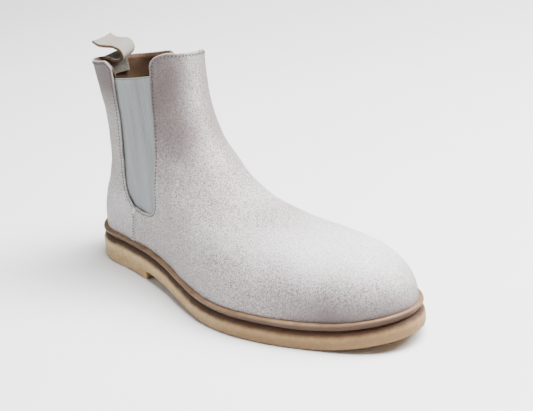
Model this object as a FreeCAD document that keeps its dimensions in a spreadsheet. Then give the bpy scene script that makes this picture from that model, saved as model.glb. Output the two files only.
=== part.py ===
"""A right chelsea boot: crepe sole, suede upper, elastic gussets, leather lining and pull tab.

While it is built, X runs from the back of the heel (0) to the tip of the toe, Y from the outer side of
the foot (negative) to the inner side (positive), and Z up from the ground.  At the end every piece is
moved so that the origin is the centre of the boot's footprint, on the ground.  Millimetres throughout.
"""
import FreeCAD, Part
import os
from math import cos, sin, sqrt, tan, pi, radians

Vector = FreeCAD.Vector

# ---------------------------------------------------------------- driving dimensions
DIMENSIONS = [
    ("sole_length", 300.0, "outsole, heel to toe"),
    ("crepe_thickness", 12.8, "outsole"),
    ("heel_block_height", 6.5, "heel block under the outsole"),
    ("heel_breast", 75.0, "length of the heel block"),
    ("midsole_thickness", 2.0, "dark layer between welt and crepe"),
    ("midsole_setback", 2.2, "midsole edge inside the crepe edge"),
    ("welt_thickness", 3.2, "welt strip"),
    ("welt_setback", 0.8, "welt edge inside the crepe edge"),
    ("welt_ledge", 4.0, "from the crepe edge to the upper"),
    ("lasting_margin", 10.0, "upper turned in under the insole"),
    ("toe_spring", 9.6, "lift of the outsole at the toe"),
    ("suede_thickness", 1.5, "outer panels"),
    ("middle_thickness", 1.1, "gussets, counter, puff and tapes"),
    ("lining_thickness", 1.0, "lining leather"),
    ("layer_gap", 0.15, "between the layers of the upper"),
    ("insole_thickness", 2.5, "insole board"),
    ("sock_thickness", 1.2, "sock liner"),
    ("shank_length", 96.0, "steel shank"),
    ("shank_width", 15.0, "steel shank"),
    ("shank_thickness", 1.8, "steel shank"),
    ("front_top", 176.0, "top of the front panel above the ground"),
    ("back_top", 158.5, "top of the back panel at the heel side"),
    ("back_corner_top", 166.0, "top of the back panel beside the gusset"),
    ("collar_tilt", 10.2, "fall of the collar towards the inner side, degrees"),
    ("flex_line", 98.0, "height at which the back of the shaft bends"),
    ("flex_gap", 0.5, "gap at the bending line"),
    ("gusset_overlap", 8.0, "elastic hidden under the suede edges"),
    ("tab_width", 21.0, "pull tab strap"),
    ("tab_thickness", 2.2, "pull tab strap, two layers"),
    ("tab_turn", 13.0, "pull tab turned about Z, degrees"),
    ("blank_width", 190.0, "width of the slabs that the sole's layers are cut from"),
]

# ---------------------------------------------------------------- design curves
# Footprint: half width and centre line along the length; the ends are rounded by round_end.
SOLE_HALF = [(0, 30.5), (37, 31.3), (70, 33.8), (103, 35.6), (130, 40.2), (158, 46.8), (187, 51.4),
             (217, 51.2), (246, 46.6), (273, 43.7), (300, 40)]
SOLE_CENTRE = [(0, 0), (37, 1.2), (70, -0.4), (103, -5.8), (130, -9.6), (158, -10.2), (187, -6.5),
               (217, -0.6), (246, 4.4), (273, 6.6), (300, 6)]
HEEL_ROUND = 34.0
TOE_ROUND = 70.0
TREAD_START, TREAD_END = 185.0, 235.0    # flat tread between the waist and the toe spring
# Side view of the upper: back line (height, x) and front line (x, height) from the top to the toe.
BACK_LINE = [(10, 5), (25, 4.5), (38, 5.2), (50, 8), (68, 15.5), (88, 23.5), (105, 26.5), (130, 26.5),
             (150, 25), (165, 23), (190, 19)]
FRONT_LINE = [(122, 230), (121.5, 200), (120, 172), (119.5, 150), (121, 132), (126, 116), (135, 102),
              (147, 91), (160, 82), (180, 73), (205, 66), (230, 62.5), (253, 59), (272, 54), (285, 47.5),
              (293, 38.5), (296, 28), (296, 5)]
# Leg part of the upper: half width and centre line by height.
LEG_HALF = [(50, 33), (70, 31.8), (90, 30), (105, 29.2), (125, 29), (145, 29.8), (165, 31), (190, 32)]
LEG_CENTRE = [(50, -3), (90, -3.5), (120, -4), (150, -5), (190, -6)]
FOOT_TO_LEG = (52, 104)      # heights between which the foot's section turns into the leg's
SECTION_TILT = tan(radians(30))
SECTION_LEVELS = [-160, -150, -141, -132, -123, -112, -100, -86, -70, -53, -36, -18, 0, 18, 36, 56, 76,
                  96, 118, 140, 162]
SECTION_POINTS = 36
OPENING_TOP = 34.0            # height that clears the floor of the upper and stays under its roof
FEATHER = 22.0               # height from which the vamp's arch starts
ARCH_RISE, ARCH_ROUND = 2.3, 2.1
LEG_ROUND = 2.25

# Side-view pattern lines (x, height).
GUSSET_FRONT = [(97, 72), (98.8, 90), (99.2, 112), (99.8, 137), (103, 162)]
GUSSET_REAR = [(68.2, 156), (66.2, 138), (65, 119), (61, 92), (54.5, 68)]
GUSSET_BOTTOM = [(54.5, 68), (55.5, 60), (62, 54.5), (76, 53), (89, 56), (95.5, 63), (97, 72)]
GUSSET_HEM = [(50, 53.5), (60, 47.5), (76, 45.5), (92, 48.5), (102, 56.5)]   # hidden lower edge
SEAM_TOP = (65, 53.9)
SEAM_FOOT = (55, 15)
SEAM_END = (54, -20)
FRONT_CORNER = [(103, 162), (104.6, 169.5), (108.5, 174.2), (113.5, 176)]
FRONT_SHOULDER = 116.0        # x from which the front panel's top is level
BACK_CORNER = [(68.2, 156), (67.4, 161.8), (61.5, 166)]
BACK_LEVEL = 22.0            # x up to which the back panel's top is at its lowest
ELASTIC_TOP = (152.0, 161.0)  # height of the elastic's top edge, rear and front
ELASTIC_SLOPE = [(-20, 138), (60.2, 152), (111, 161), (140, 166), (140, -20), (-20, -20)]
COLLAR_SIDE = -22.0          # place across the boot from which the toplines fall to the inner side
FRONT_COLLAR_FLANK = [(60, 100), (99.8, 137)]       # sides of the collar's patterns, clear of the gussets
BACK_COLLAR_FLANK = [(66.2, 138), (110, 100)]
TAB_LINE = [(36, 158.3), (41, 157.2), (46.5, 158.2), (49, 161.5), (47, 165.3), (41, 167), (34, 166.8),
            (28, 167), (22.5, 169.5)]
TAB_ROOT = {"low": 143.0, "high": 155.5, "centre": -5.0, "depth": 45.0}
TOE_PUFF = [(238, 0), (320, 0), (320, 120), (246, 120)]
HEEL_COUNTER = [(-20, 0), (78, 0), (70, 36), (46, 44), (36, 60), (-20, 64)]
FRONT_TAPE = [(113, 164), (150, 164), (150, 174.5), (113, 174.5)]
BACK_TAPE = [(-10, 145), (50, 145), (50, 155.5), (-10, 155.5)]

# Limits of the tools that cut the pieces, all clear of the boot.
BEHIND, AHEAD, BELOW, ROOF = -20.0, 330.0, -20.0, 260.0
SLAB_START, SLAB_END = -12.0, 312.0
LEG_MIDDLE = -4.5            # between the outer and the inner elastic
SHANK_START, SHANK_SIDE = 52.0, -4.0
SOLE_CLEARANCE = 0.1         # between the layers inside the sole

doc = FreeCAD.newDocument("chelsea_boot")
sheet = doc.addObject("Spreadsheet::Sheet", "dimensions")
for line, (alias, value, meaning) in enumerate(DIMENSIONS, start=1):
    sheet.set("A%d" % line, alias)
    sheet.set("B%d" % line, str(value))
    sheet.setAlias("B%d" % line, alias)
    sheet.set("C%d" % line, meaning)
doc.recompute()


def dim(alias):
    """The value of a named cell."""
    return float(sheet.get(alias))


# ---------------------------------------------------------------- curve arithmetic
def smooth(points, at):
    """Cubic through the points (first value -> second value), held level past both ends."""
    if at <= points[0][0]:
        return points[0][1]
    if at >= points[-1][0]:
        return points[-1][1]
    index = max(k for k in range(len(points) - 1) if points[k][0] <= at)

    def slope(k):
        before = points[max(k - 1, 0)]
        after = points[min(k + 1, len(points) - 1)]
        return (after[1] - before[1]) / (after[0] - before[0])

    (start, low), (end, high) = points[index], points[index + 1]
    span = end - start
    part = (at - start) / span
    square, cube = part ** 2, part ** 3
    return ((2 * cube - 3 * square + 1) * low + (cube - 2 * square + part) * span * slope(index)
            + (3 * square - 2 * cube) * high + (cube - square) * span * slope(index + 1))


def ease(low, high, at):
    """0 below low, 1 above high, smooth between."""
    part = min(max((at - low) / (high - low), 0.0), 1.0)
    return part * part * (3 - 2 * part)


def round_end(distance, length):
    """Quarter ellipse: 0 at the end of a shape, 1 from length on."""
    part = min(max(distance / length, 0.0), 1.0)
    return sqrt(max(0.0, 1 - (1 - part) ** 2))


def solve(function, low, high, target):
    """The argument at which a rising function reaches target."""
    for _ in range(36):
        middle = (low + high) / 2
        if function(middle) < target:
            low = middle
        else:
            high = middle
    return (low + high) / 2


def shifted(points, distance):
    """A polyline moved to its left by distance."""
    moved = []
    for k, (x, z) in enumerate(points):
        before, after = points[max(k - 1, 0)], points[min(k + 1, len(points) - 1)]
        run = Vector(after[0] - before[0], after[1] - before[1], 0)
        run.normalize()
        moved.append((x - run.y * distance, z + run.x * distance))
    return moved


def underside(x):
    """Height of the outsole's underside: level on the heel block, waist, tread and toe spring."""
    if x > TREAD_END:
        return dim("toe_spring") * ((x - TREAD_END) / (dim("sole_length") - TREAD_END)) ** 2
    return dim("heel_block_height") * (1 - ease(dim("heel_breast"), TREAD_START, x))


FEATHER_LIFT = dim("crepe_thickness") + dim("midsole_thickness") + dim("welt_thickness")
SUEDE_IN = dim("suede_thickness")
MIDDLE_OUT = SUEDE_IN + dim("layer_gap")
MIDDLE_IN = MIDDLE_OUT + dim("middle_thickness")
LINING_OUT = MIDDLE_IN + dim("layer_gap")
LINING_IN = LINING_OUT + dim("lining_thickness")
REACH = dim("blank_width") / 2   # half length of every cutter across the boot


# ---------------------------------------------------------------- outlines and profiles
def sole_half(x, inset):
    """Half width of the footprint drawn inset from the outsole's edge."""
    length = dim("sole_length")
    return ((smooth(SOLE_HALF, x) - inset) * round_end(x - inset, HEEL_ROUND - inset)
            * round_end(length - inset - x, TOE_ROUND - inset))


def outline_edges(inset, stations=15):
    """The footprint's closed spline in two parts, outer side from heel to toe and inner side back."""
    length = dim("sole_length")
    points = []
    for k in range(2 * (stations - 1)):
        turn = pi * k / (stations - 1)
        x = length / 2 - (length / 2 - inset) * cos(turn)
        half = 0.0 if k in (0, stations - 1) else sole_half(x, inset)
        points.append(Vector(x, smooth(SOLE_CENTRE, x) + (half if turn > pi else -half), 0))
    sides = []
    for part in (0, 1):
        curve = Part.BSplineCurve()
        curve.interpolate(Points=points, PeriodicFlag=True)
        toe = curve.parameter(points[stations - 1])
        limits = [curve.FirstParameter, toe, curve.LastParameter]
        curve.segment(limits[part], limits[part + 1])
        sides.append(curve)
    return sides


def level_curves(lift):
    """The underside's line raised by lift (x, height, 0): heel seat, waist, tread, toe spring."""
    start, end = SLAB_START, SLAB_END
    breast, heel = dim("heel_breast"), dim("heel_block_height") + lift
    waist = (TREAD_START - breast) / 3

    def bezier(*poles):
        curve = Part.BezierCurve()
        curve.setPoles([Vector(*pole, 0) for pole in poles])
        return curve.toBSpline()

    return [
        Part.LineSegment(Vector(start, heel, 0), Vector(breast, heel, 0)),
        bezier((breast, heel), (breast + waist, heel), (TREAD_START - waist, lift), (TREAD_START, lift)),
        Part.LineSegment(Vector(TREAD_START, lift, 0), Vector(TREAD_END, lift, 0)),
        bezier((TREAD_END, lift), ((TREAD_END + end) / 2, lift), (end, underside(end) + lift)),
    ]


def side_face(edges):
    """A face in the side view from edges drawn as (x, height, 0)."""
    wire = Part.Wire(Part.__sortEdges__([edge.toShape() for edge in edges]))
    wire.rotate(Vector(0, 0, 0), Vector(1, 0, 0), 90)
    return Part.Face(wire)


def through(face, low=-REACH, high=REACH):
    """A side-view face made solid across the boot."""
    face = face.copy()
    face.translate(Vector(0, low, 0))
    return face.extrude(Vector(0, high - low, 0))


def leaning(face):
    """A side-view face made solid across the boot, falling towards the inner side like the collar."""
    fall = tan(radians(dim("collar_tilt")))
    face = face.copy()
    face.translate(Vector(0, -REACH, (REACH + COLLAR_SIDE) * fall))
    return face.extrude(Vector(0, 2 * REACH, -2 * REACH * fall))


def side_lines(points):
    corners = [Vector(*point, 0) for point in points]
    return [Part.LineSegment(*pair) for pair in zip(corners, corners[1:])]


def side_spline(points):
    curve = Part.BSplineCurve()
    curve.interpolate([Vector(*point, 0) for point in points])
    return curve


# ---------------------------------------------------------------- sole layers, PartDesign bodies
def origin_plane(body, role):
    return [item for item in body.Origin.OriginFeatures if item.Role == role][0]


def new_sketch(body, name, role, geometry):
    sketch = body.newObject("Sketcher::SketchObject", name)
    sketch.AttachmentSupport = [(origin_plane(body, role), "")]
    sketch.MapMode = "FlatFace"
    for item in geometry:
        sketch.addGeometry(item, False)
    return sketch


def block_edges():
    """A rectangle wider than the boot, the waste around a footprint."""
    side = REACH + 20
    return box_edges(SLAB_START - 20, SLAB_END + 20, -side, side)


def box_edges(start, end, low, high):
    corners = [(start, low), (end, low), (end, high), (start, high), (start, low)]
    return side_lines(corners)


def sole_layer(name, low, high, inset, hole_inset=None):
    """A layer between two lifts of the underside line, cut to a footprint, with an optional opening."""
    body = doc.addObject("PartDesign::Body", name)
    bottom, top = level_curves(low), level_curves(high)
    start, end = bottom[0].StartPoint, bottom[-1].EndPoint
    ends = [Part.LineSegment(start, top[0].StartPoint), Part.LineSegment(end, top[-1].EndPoint)]
    pad = body.newObject("PartDesign::Pad", name + "_slab")
    pad.Profile = new_sketch(body, name + "_profile", "XZ_Plane", bottom + top + ends)
    pad.Midplane = True
    pad.setExpression("Length", "dimensions.blank_width")
    doc.recompute()
    slab = body.Shape.Volume
    waste = block_edges() + outline_edges(inset)
    if hole_inset is not None:
        waste += outline_edges(hole_inset)
    trim = body.newObject("PartDesign::Pocket", name + "_trim")
    trim.Profile = new_sketch(body, name + "_footprint", "XY_Plane", waste)
    trim.Type = "ThroughAll"
    trim.Midplane = True
    doc.recompute()
    assert body.Shape.Volume < 0.8 * slab, name
    return body


def heel_block():
    """Crepe block under the heel, cut square at its breast."""
    body = doc.addObject("PartDesign::Body", "heel_block")
    plan = box_edges(SLAB_START, dim("heel_breast"), -REACH, REACH)
    pad = body.newObject("PartDesign::Pad", "heel_block_slab")
    pad.Profile = new_sketch(body, "heel_block_plan", "XY_Plane", plan)
    pad.setExpression("Length", "dimensions.heel_block_height")
    trim = body.newObject("PartDesign::Pocket", "heel_block_trim")
    trim.Profile = new_sketch(body, "heel_block_footprint", "XY_Plane", outline_edges(0.0) + block_edges())
    trim.Type = "ThroughAll"
    trim.Midplane = True
    doc.recompute()
    return body


def shank(low):
    """Flat steel strip along the waist, following the sole."""
    body = doc.addObject("PartDesign::Body", "shank")
    stations = [SHANK_START + dim("shank_length") * k / 4 for k in range(5)]

    def line(lift):
        return side_spline([(x, underside(x) + low + lift) for x in stations])

    bottom, top = line(0.0), line(dim("shank_thickness"))
    ends = [Part.LineSegment(bottom.StartPoint, top.StartPoint),
            Part.LineSegment(bottom.EndPoint, top.EndPoint)]
    pad = body.newObject("PartDesign::Pad", "shank_strip")
    pad.Profile = new_sketch(body, "shank_profile", "XZ_Plane", [bottom, top] + ends)
    pad.Midplane = True
    pad.setExpression("Length", "dimensions.shank_width")
    body.Placement = FreeCAD.Placement(Vector(0, SHANK_SIDE, 0), FreeCAD.Rotation())
    doc.recompute()
    return body


# ---------------------------------------------------------------- the lasted upper
class Last:
    """The upper's surface moved inwards by depth."""

    def __init__(self, depth):
        self.depth = depth
        front = shifted(FRONT_LINE, -depth)
        self.front = sorted((z - x * SECTION_TILT, x) for x, z in front)
        back = shifted([(x, z) for z, x in BACK_LINE], -depth)
        self.back = [(z, x) for x, z in back]

    def front_at(self, level):
        return smooth(self.front, level)

    def ridge(self, x):
        """Height of the front line above x; far above the boot behind the leg's front."""
        low, high = self.front[0][0], self.front[-1][0]
        if x <= self.front_at(high) + 0.3:
            return high + x * SECTION_TILT
        level = solve(lambda c: -self.front_at(c), low, high, -x)
        return level + x * SECTION_TILT

    def front_x(self, z):
        low, high = self.front[0][0], self.front[-1][0]
        return self.front_at(solve(lambda c: c + self.front_at(c) * SECTION_TILT, low, high, z))

    def back_x(self, z):
        return smooth(self.back, z)

    def half(self, x, z):
        leg_share = ease(*FOOT_TO_LEG, z)
        inset = dim("welt_ledge") + self.depth
        back, front = self.back_x(z), self.front_x(z)
        foot = leg = 0.0
        if leg_share < 1:
            top = max(self.ridge(x), FEATHER + 1)
            rise = min(max((z - FEATHER) / (top - FEATHER), 0.0), 1.0)
            foot = (smooth(SOLE_HALF, x) - inset) * (1 - rise ** ARCH_RISE) ** (1 / ARCH_ROUND)
            foot *= round_end(x - back, HEEL_ROUND - inset)
            foot *= round_end(dim("sole_length") - inset - x, TOE_ROUND - inset)
        if leg_share > 0:
            off_centre = min(abs(x - (back + front) / 2) / ((front - back) / 2), 1.0)
            leg = (smooth(LEG_HALF, z) - self.depth) * (1 - off_centre ** LEG_ROUND) ** (1 / LEG_ROUND)
        return foot * (1 - leg_share) + leg * leg_share

    def centre(self, x, z):
        leg_share = ease(*FOOT_TO_LEG, z)
        return smooth(SOLE_CENTRE, x) * (1 - leg_share) + smooth(LEG_CENTRE, z) * leg_share

    def section(self, level):
        """Closed spline where a plane tilted up towards the toe cuts the surface."""
        front = self.front_at(level)
        back = self.back_x(0)
        for _ in range(12):
            back = self.back_x(level + back * SECTION_TILT)
        points = []
        for k in range(SECTION_POINTS):
            turn = 2 * pi * k / SECTION_POINTS
            x = (back + front) / 2 - (front - back) / 2 * cos(turn)
            z = level + x * SECTION_TILT
            width = 0.0 if k in (0, SECTION_POINTS // 2) else self.half(x, z)
            points.append(Vector(x, self.centre(x, z) - (width if turn < pi else -width), z))
        curve = Part.BSplineCurve()
        evenly = [k / SECTION_POINTS for k in range(SECTION_POINTS + 1)]
        curve.interpolate(Points=points, PeriodicFlag=True, Parameters=evenly)
        return Part.Wire([curve.toShape()])

    def solid(self):
        """Everything inside the surface, above the floor of this layer."""
        body = Part.makeLoft([self.section(level) for level in SECTION_LEVELS], True, False)
        return body.common(above(FEATHER_LIFT + self.depth))


def above(lift):
    """The space above the underside line raised by lift."""
    edges = level_curves(lift)
    start, end = edges[0].StartPoint, edges[-1].EndPoint
    corners = [(end.x, end.y), (end.x, ROOF), (start.x, ROOF), (start.x, start.y)]
    return through(side_face(edges + side_lines(corners)))


def band(low, high, inset):
    """A sole-shaped plate between two lifts, cut to a footprint."""
    plan = Part.Face(Part.Wire([edge.toShape() for edge in outline_edges(inset)]))
    return plan.extrude(Vector(0, 0, ROOF)).common(above(low).cut(above(high)))


def front_region():
    """Pattern of the front panel: everything before the gusset's front edge and the side seam."""
    top = dim("front_top")
    bottom = [point for point in GUSSET_BOTTOM if point[0] > SEAM_TOP[0]]
    edges = [side_spline([SEAM_TOP] + bottom), side_spline(GUSSET_FRONT), side_spline(FRONT_CORNER)]
    edges += side_lines([FRONT_CORNER[-1], (FRONT_SHOULDER, top), (AHEAD, top), (AHEAD, BELOW), SEAM_END,
                         SEAM_FOOT, SEAM_TOP])
    return side_face(edges)


def back_region():
    """Pattern of the back panel: behind the side seam and the gusset's rear edge."""
    top, corner = dim("back_top"), dim("back_corner_top")
    bottom = [point for point in GUSSET_BOTTOM if point[0] < SEAM_TOP[0]]
    edges = [side_spline(bottom + [SEAM_TOP]), side_spline(GUSSET_REAR), side_spline(BACK_CORNER)]
    edges += side_lines([SEAM_TOP, SEAM_FOOT, SEAM_END, (BEHIND, BELOW), (BEHIND, top), (BACK_LEVEL, top),
                         (BACK_CORNER[-1][0], corner)])
    return side_face(edges)


def front_collar():
    """Everything under the front panel's topline in the side view."""
    top = dim("front_top")
    left = FRONT_COLLAR_FLANK[0][0]
    edges = side_lines([FRONT_CORNER[-1], (FRONT_SHOULDER, top), (AHEAD, top), (AHEAD, BELOW), (left, BELOW)]
                       + FRONT_COLLAR_FLANK + [FRONT_CORNER[0]])
    return leaning(side_face([side_spline(FRONT_CORNER)] + edges))


def back_collar():
    """Everything under the back panel's topline in the side view."""
    top, right = dim("back_top"), BACK_COLLAR_FLANK[-1][0]
    edges = side_lines([BACK_CORNER[0]] + BACK_COLLAR_FLANK
                       + [(right, BELOW), (BEHIND, BELOW), (BEHIND, top), (BACK_LEVEL, top), BACK_CORNER[-1]])
    return leaning(side_face([side_spline(BACK_CORNER)] + edges))


def gusset_region():
    """Pattern of an elastic: the opening and the strip hidden under its edges."""
    wide = dim("gusset_overlap")
    front = [(x + wide, z) for x, z in GUSSET_FRONT]
    rear = [(x - wide, z) for x, z in GUSSET_REAR]
    front[-1] = (front[-1][0], ELASTIC_TOP[1])
    rear[0] = (rear[0][0], ELASTIC_TOP[0])
    hem = side_spline([rear[-1]] + GUSSET_HEM + [front[0]])
    return side_face([side_spline(front), side_spline(rear), hem] + side_lines([front[-1], rear[0]]))


def straight_face(points):
    """A straight-edged face in the side view."""
    return side_face(side_lines(points + points[:1]))


def pattern(points):
    """A straight-edged side-view pattern made solid across the boot."""
    return through(straight_face(points))


def add_solid(name, shape):
    """A piece of the document from a shape; loose slivers of a cut are an error."""
    assert len(shape.Solids) == 1, (name, [round(solid.Volume, 2) for solid in shape.Solids])
    piece = doc.addObject("Part::Feature", name)
    piece.Shape = shape.Solids[0]
    return piece


def build_upper():
    """All layers of the upper, from the outside in."""
    margin = Part.Wire([edge.toShape() for edge in outline_edges(dim("welt_ledge") + dim("lasting_margin"))])
    opening = Part.Face(margin).extrude(Vector(0, 0, OPENING_TOP))
    cores = [Last(depth).solid() for depth in (0.0, SUEDE_IN, MIDDLE_OUT, MIDDLE_IN, LINING_OUT, LINING_IN)]
    suede = cores[0].cut(cores[1]).cut(opening)
    middle = cores[2].cut(cores[3]).cut(opening)
    lining = cores[4].cut(cores[5]).cut(opening)
    front = through(front_region()).common(front_collar())
    back = through(back_region()).common(back_collar())
    flex, gap = dim("flex_line"), dim("flex_gap")
    waist_end = SEAM_TOP[0] + 25
    lower = pattern([(BEHIND, BELOW), (waist_end, BELOW), (waist_end, flex), (BEHIND, flex)])
    upper = pattern([(BEHIND, flex + gap), (waist_end, flex + gap), (waist_end, ROOF), (BEHIND, ROOF)])
    elastic, under_elastic = gusset_region(), leaning(straight_face(ELASTIC_SLOPE))
    return [
        add_solid("front_upper", suede.common(front)),
        add_solid("heel_upper", suede.common(back.common(lower))),
        add_solid("back_shaft_upper", suede.common(back.common(upper))),
        add_solid("front_lining", lining.common(front)),
        add_solid("heel_lining", lining.common(back.common(lower))),
        add_solid("back_shaft_lining", lining.common(back.common(upper))),
        add_solid("toe_puff", middle.common(pattern(TOE_PUFF))),
        add_solid("heel_counter", middle.common(pattern(HEEL_COUNTER))),
        add_solid("front_collar_tape", middle.common(leaning(straight_face(FRONT_TAPE)))),
        add_solid("back_collar_tape", middle.common(leaning(straight_face(BACK_TAPE)))),
        add_solid("outer_gusset", middle.common(through(elastic, -REACH, LEG_MIDDLE))),
        add_solid("inner_gusset", middle.common(through(elastic, LEG_MIDDLE, REACH)).common(under_elastic)),
    ]


# ---------------------------------------------------------------- pull tab
def pull_tab():
    """The free part of the strap: an S-shaped ribbon with its fold at the far end."""
    half = dim("tab_thickness") / 2
    upper, lower = shifted(TAB_LINE, half), shifted(TAB_LINE, -half)
    run = Vector(TAB_LINE[-1][0] - TAB_LINE[-2][0], TAB_LINE[-1][1] - TAB_LINE[-2][1], 0).normalize()
    tip = Vector(*TAB_LINE[-1], 0) + run * half
    fold = Part.Arc(Vector(*upper[-1], 0), tip, Vector(*lower[-1], 0))
    edges = [side_spline(upper), side_spline(lower), fold] + side_lines([upper[0], lower[0]])
    body = doc.addObject("PartDesign::Body", "pull_tab")
    pad = body.newObject("PartDesign::Pad", "pull_tab_ribbon")
    pad.Profile = new_sketch(body, "pull_tab_profile", "XZ_Plane", edges)
    pad.Midplane = True
    pad.setExpression("Length", "dimensions.tab_width")
    root, middle = TAB_LINE[0][0], TAB_ROOT["centre"]
    turn = FreeCAD.Rotation(Vector(0, 0, 1), dim("tab_turn"))
    body.Placement = FreeCAD.Placement(Vector(0, middle, 0), turn, Vector(root, 0, 0))
    doc.recompute()
    return body


def pull_tab_root():
    """The sewn-in end of the strap, bent round the inside of the back lining."""
    near, far = Last(LINING_IN + dim("layer_gap")), Last(LINING_IN + dim("layer_gap") + dim("tab_thickness"))
    skin = near.solid().cut(far.solid())
    low, high = TAB_ROOT["low"], TAB_ROOT["high"]
    window = Part.makeBox(TAB_ROOT["depth"], dim("tab_width"), high - low,
                          Vector(0, TAB_ROOT["centre"] - dim("tab_width") / 2, low))
    return add_solid("pull_tab_root", skin.common(window))


# ---------------------------------------------------------------- the boot
def build_sole():
    """The layers under the foot, from the ground up, and the parts between them."""
    crepe = dim("crepe_thickness")
    mid = crepe + dim("midsole_thickness")
    floor = FEATHER_LIFT + LINING_IN
    board = floor + 2 * SOLE_CLEARANCE
    sock = board + dim("insole_thickness") + SOLE_CLEARANCE
    margin = dim("welt_ledge") + dim("lasting_margin")
    inside = Last(LINING_IN + dim("layer_gap")).solid()

    def sheet_inside(low, thickness):
        """A flat piece that fills the foot's space between two lifts."""
        return inside.common(above(low)).cut(above(low + thickness))

    strip = shank(floor - dim("shank_thickness"))
    filler = band(mid + SOLE_CLEARANCE, floor, margin + 2 * SOLE_CLEARANCE)
    return [
        heel_block(),
        sole_layer("outsole", 0.0, crepe, 0.0),
        sole_layer("midsole", crepe, mid, dim("midsole_setback")),
        sole_layer("welt", mid, FEATHER_LIFT, dim("welt_setback"), margin),
        add_solid("insole_board", sheet_inside(board, dim("insole_thickness"))),
        add_solid("sock_liner", sheet_inside(sock, dim("sock_thickness"))),
        strip,
        add_solid("bottom_filler", filler.cut(strip.Shape)),
    ]


pieces = build_sole() + build_upper() + [pull_tab(), pull_tab_root()]
doc.recompute()

footprint = doc.getObject("outsole").Shape.BoundBox
to_centre = Vector(-footprint.Center.x, -footprint.Center.y, 0)
for piece in pieces:
    piece.Label = piece.Name
    piece.Placement = FreeCAD.Placement(piece.Placement.Base + to_centre, piece.Placement.Rotation)
doc.recompute()

for item in doc.Objects:
    assert not {"Invalid", "Error"} & set(item.State), (item.Name, item.State)
for piece in pieces:
    assert not piece.Shape.isNull() and piece.Shape.isValid(), piece.Name

os.makedirs("parts", exist_ok=True)
for piece in pieces:
    piece.Shape.exportStep("parts/%s.step" % piece.Label)
    box = piece.Shape.BoundBox
    print("%-18s %9.1f mm3  X %.1f..%.1f  Y %.1f..%.1f  Z %.1f..%.1f" % (
        piece.Label, piece.Shape.Volume, box.XMin, box.XMax, box.YMin, box.YMax, box.ZMin, box.ZMax))
print("moved by", to_centre)
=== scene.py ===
"""Scene of a right chelsea boot in pale suede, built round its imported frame.

The upper's surface follows the same design curves as the frame's model.  Design values are in millimetres
in the boot's own plan: x from the back of the heel to the toe, y from the outer side (negative) to the
inner side, z up from the ground.  Everything is moved onto the frame and scaled to metres in to_frame.
"""

from math import cos, pi, radians, sin, tan

import bpy
import numpy as np
from mathutils import Matrix, Vector


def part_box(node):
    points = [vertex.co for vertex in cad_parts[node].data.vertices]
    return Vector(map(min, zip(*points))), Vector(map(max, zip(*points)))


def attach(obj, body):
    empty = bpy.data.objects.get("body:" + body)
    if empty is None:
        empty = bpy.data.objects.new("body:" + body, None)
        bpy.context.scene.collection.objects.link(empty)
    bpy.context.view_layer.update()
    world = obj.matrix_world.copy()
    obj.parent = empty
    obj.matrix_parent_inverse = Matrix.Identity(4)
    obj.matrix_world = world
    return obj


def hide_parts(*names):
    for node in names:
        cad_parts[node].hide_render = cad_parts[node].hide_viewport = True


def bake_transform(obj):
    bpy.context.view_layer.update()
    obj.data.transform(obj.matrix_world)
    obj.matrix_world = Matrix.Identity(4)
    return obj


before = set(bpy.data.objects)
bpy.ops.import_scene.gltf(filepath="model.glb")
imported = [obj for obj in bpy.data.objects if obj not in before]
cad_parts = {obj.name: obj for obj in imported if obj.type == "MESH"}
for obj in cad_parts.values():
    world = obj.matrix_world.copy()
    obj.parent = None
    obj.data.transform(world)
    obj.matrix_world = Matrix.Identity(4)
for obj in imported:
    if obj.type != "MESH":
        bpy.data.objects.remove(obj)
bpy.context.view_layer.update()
MM = 0.001

# ---------------- design curves, millimetres
LENGTH = 300.0
SOLE_HALF = [(0, 30.5), (37, 31.3), (70, 33.8), (103, 35.6), (130, 40.2), (158, 46.8), (187, 51.4),
             (217, 51.2), (246, 46.6), (273, 43.7), (300, 40)]
SOLE_CENTRE = [(0, 0), (37, 1.2), (70, -0.4), (103, -5.8), (130, -9.6), (158, -10.2), (187, -6.5),
               (217, -0.6), (246, 4.4), (273, 6.6), (300, 6)]
HEEL_ROUND, TOE_ROUND = 34.0, 70.0
HEEL_BREAST, TREAD_START, TREAD_END = 75.0, 185.0, 235.0
HEEL_HEIGHT, TOE_SPRING = 6.5, 9.6
CREPE, MIDSOLE, WELT = 12.8, 2.0, 3.2
FEATHER_LIFT = CREPE + MIDSOLE + WELT
WELT_LEDGE = 4.0
BACK_LINE = [(10, 5), (25, 4.5), (38, 5.2), (50, 8), (68, 15.5), (88, 23.5), (105, 26.5), (130, 26.5),
             (150, 25), (165, 23), (190, 19)]
FRONT_LINE = [(122, 230), (121.5, 200), (120, 172), (119.5, 150), (121, 132), (126, 116), (135, 102),
              (147, 91), (160, 82), (180, 73), (205, 66), (230, 62.5), (253, 59), (272, 54), (285, 47.5),
              (293, 38.5), (296, 28), (296, 5)]
LEG_HALF = [(50, 33), (70, 31.8), (90, 30), (105, 29.2), (125, 29), (145, 29.8), (165, 31), (190, 32)]
LEG_CENTRE = [(50, -3), (90, -3.5), (120, -4), (150, -5), (190, -6)]
FOOT_TO_LEG = (52, 104)
TILT = tan(radians(30))
FEATHER, ARCH_RISE, ARCH_ROUND, LEG_ROUND = 22.0, 2.3, 2.1, 2.25
GUSSET_FRONT = [(97, 72), (98.8, 90), (99.2, 112), (99.8, 137), (103, 162)]
GUSSET_REAR = [(68.2, 156), (66.2, 138), (65, 119), (61, 92), (54.5, 68)]
GUSSET_BOTTOM = [(54.5, 68), (55.5, 60), (62, 54.5), (76, 53), (89, 56), (95.5, 63), (97, 72)]
ELASTIC_TOP = (152.0, 161.0)    # at its rear and front edge
ELASTIC_HEM = ([0, 0.15, 0.5, 0.8, 1], [60, 50, 46.5, 48, 57])      # shares across, lower edge's heights
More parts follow.
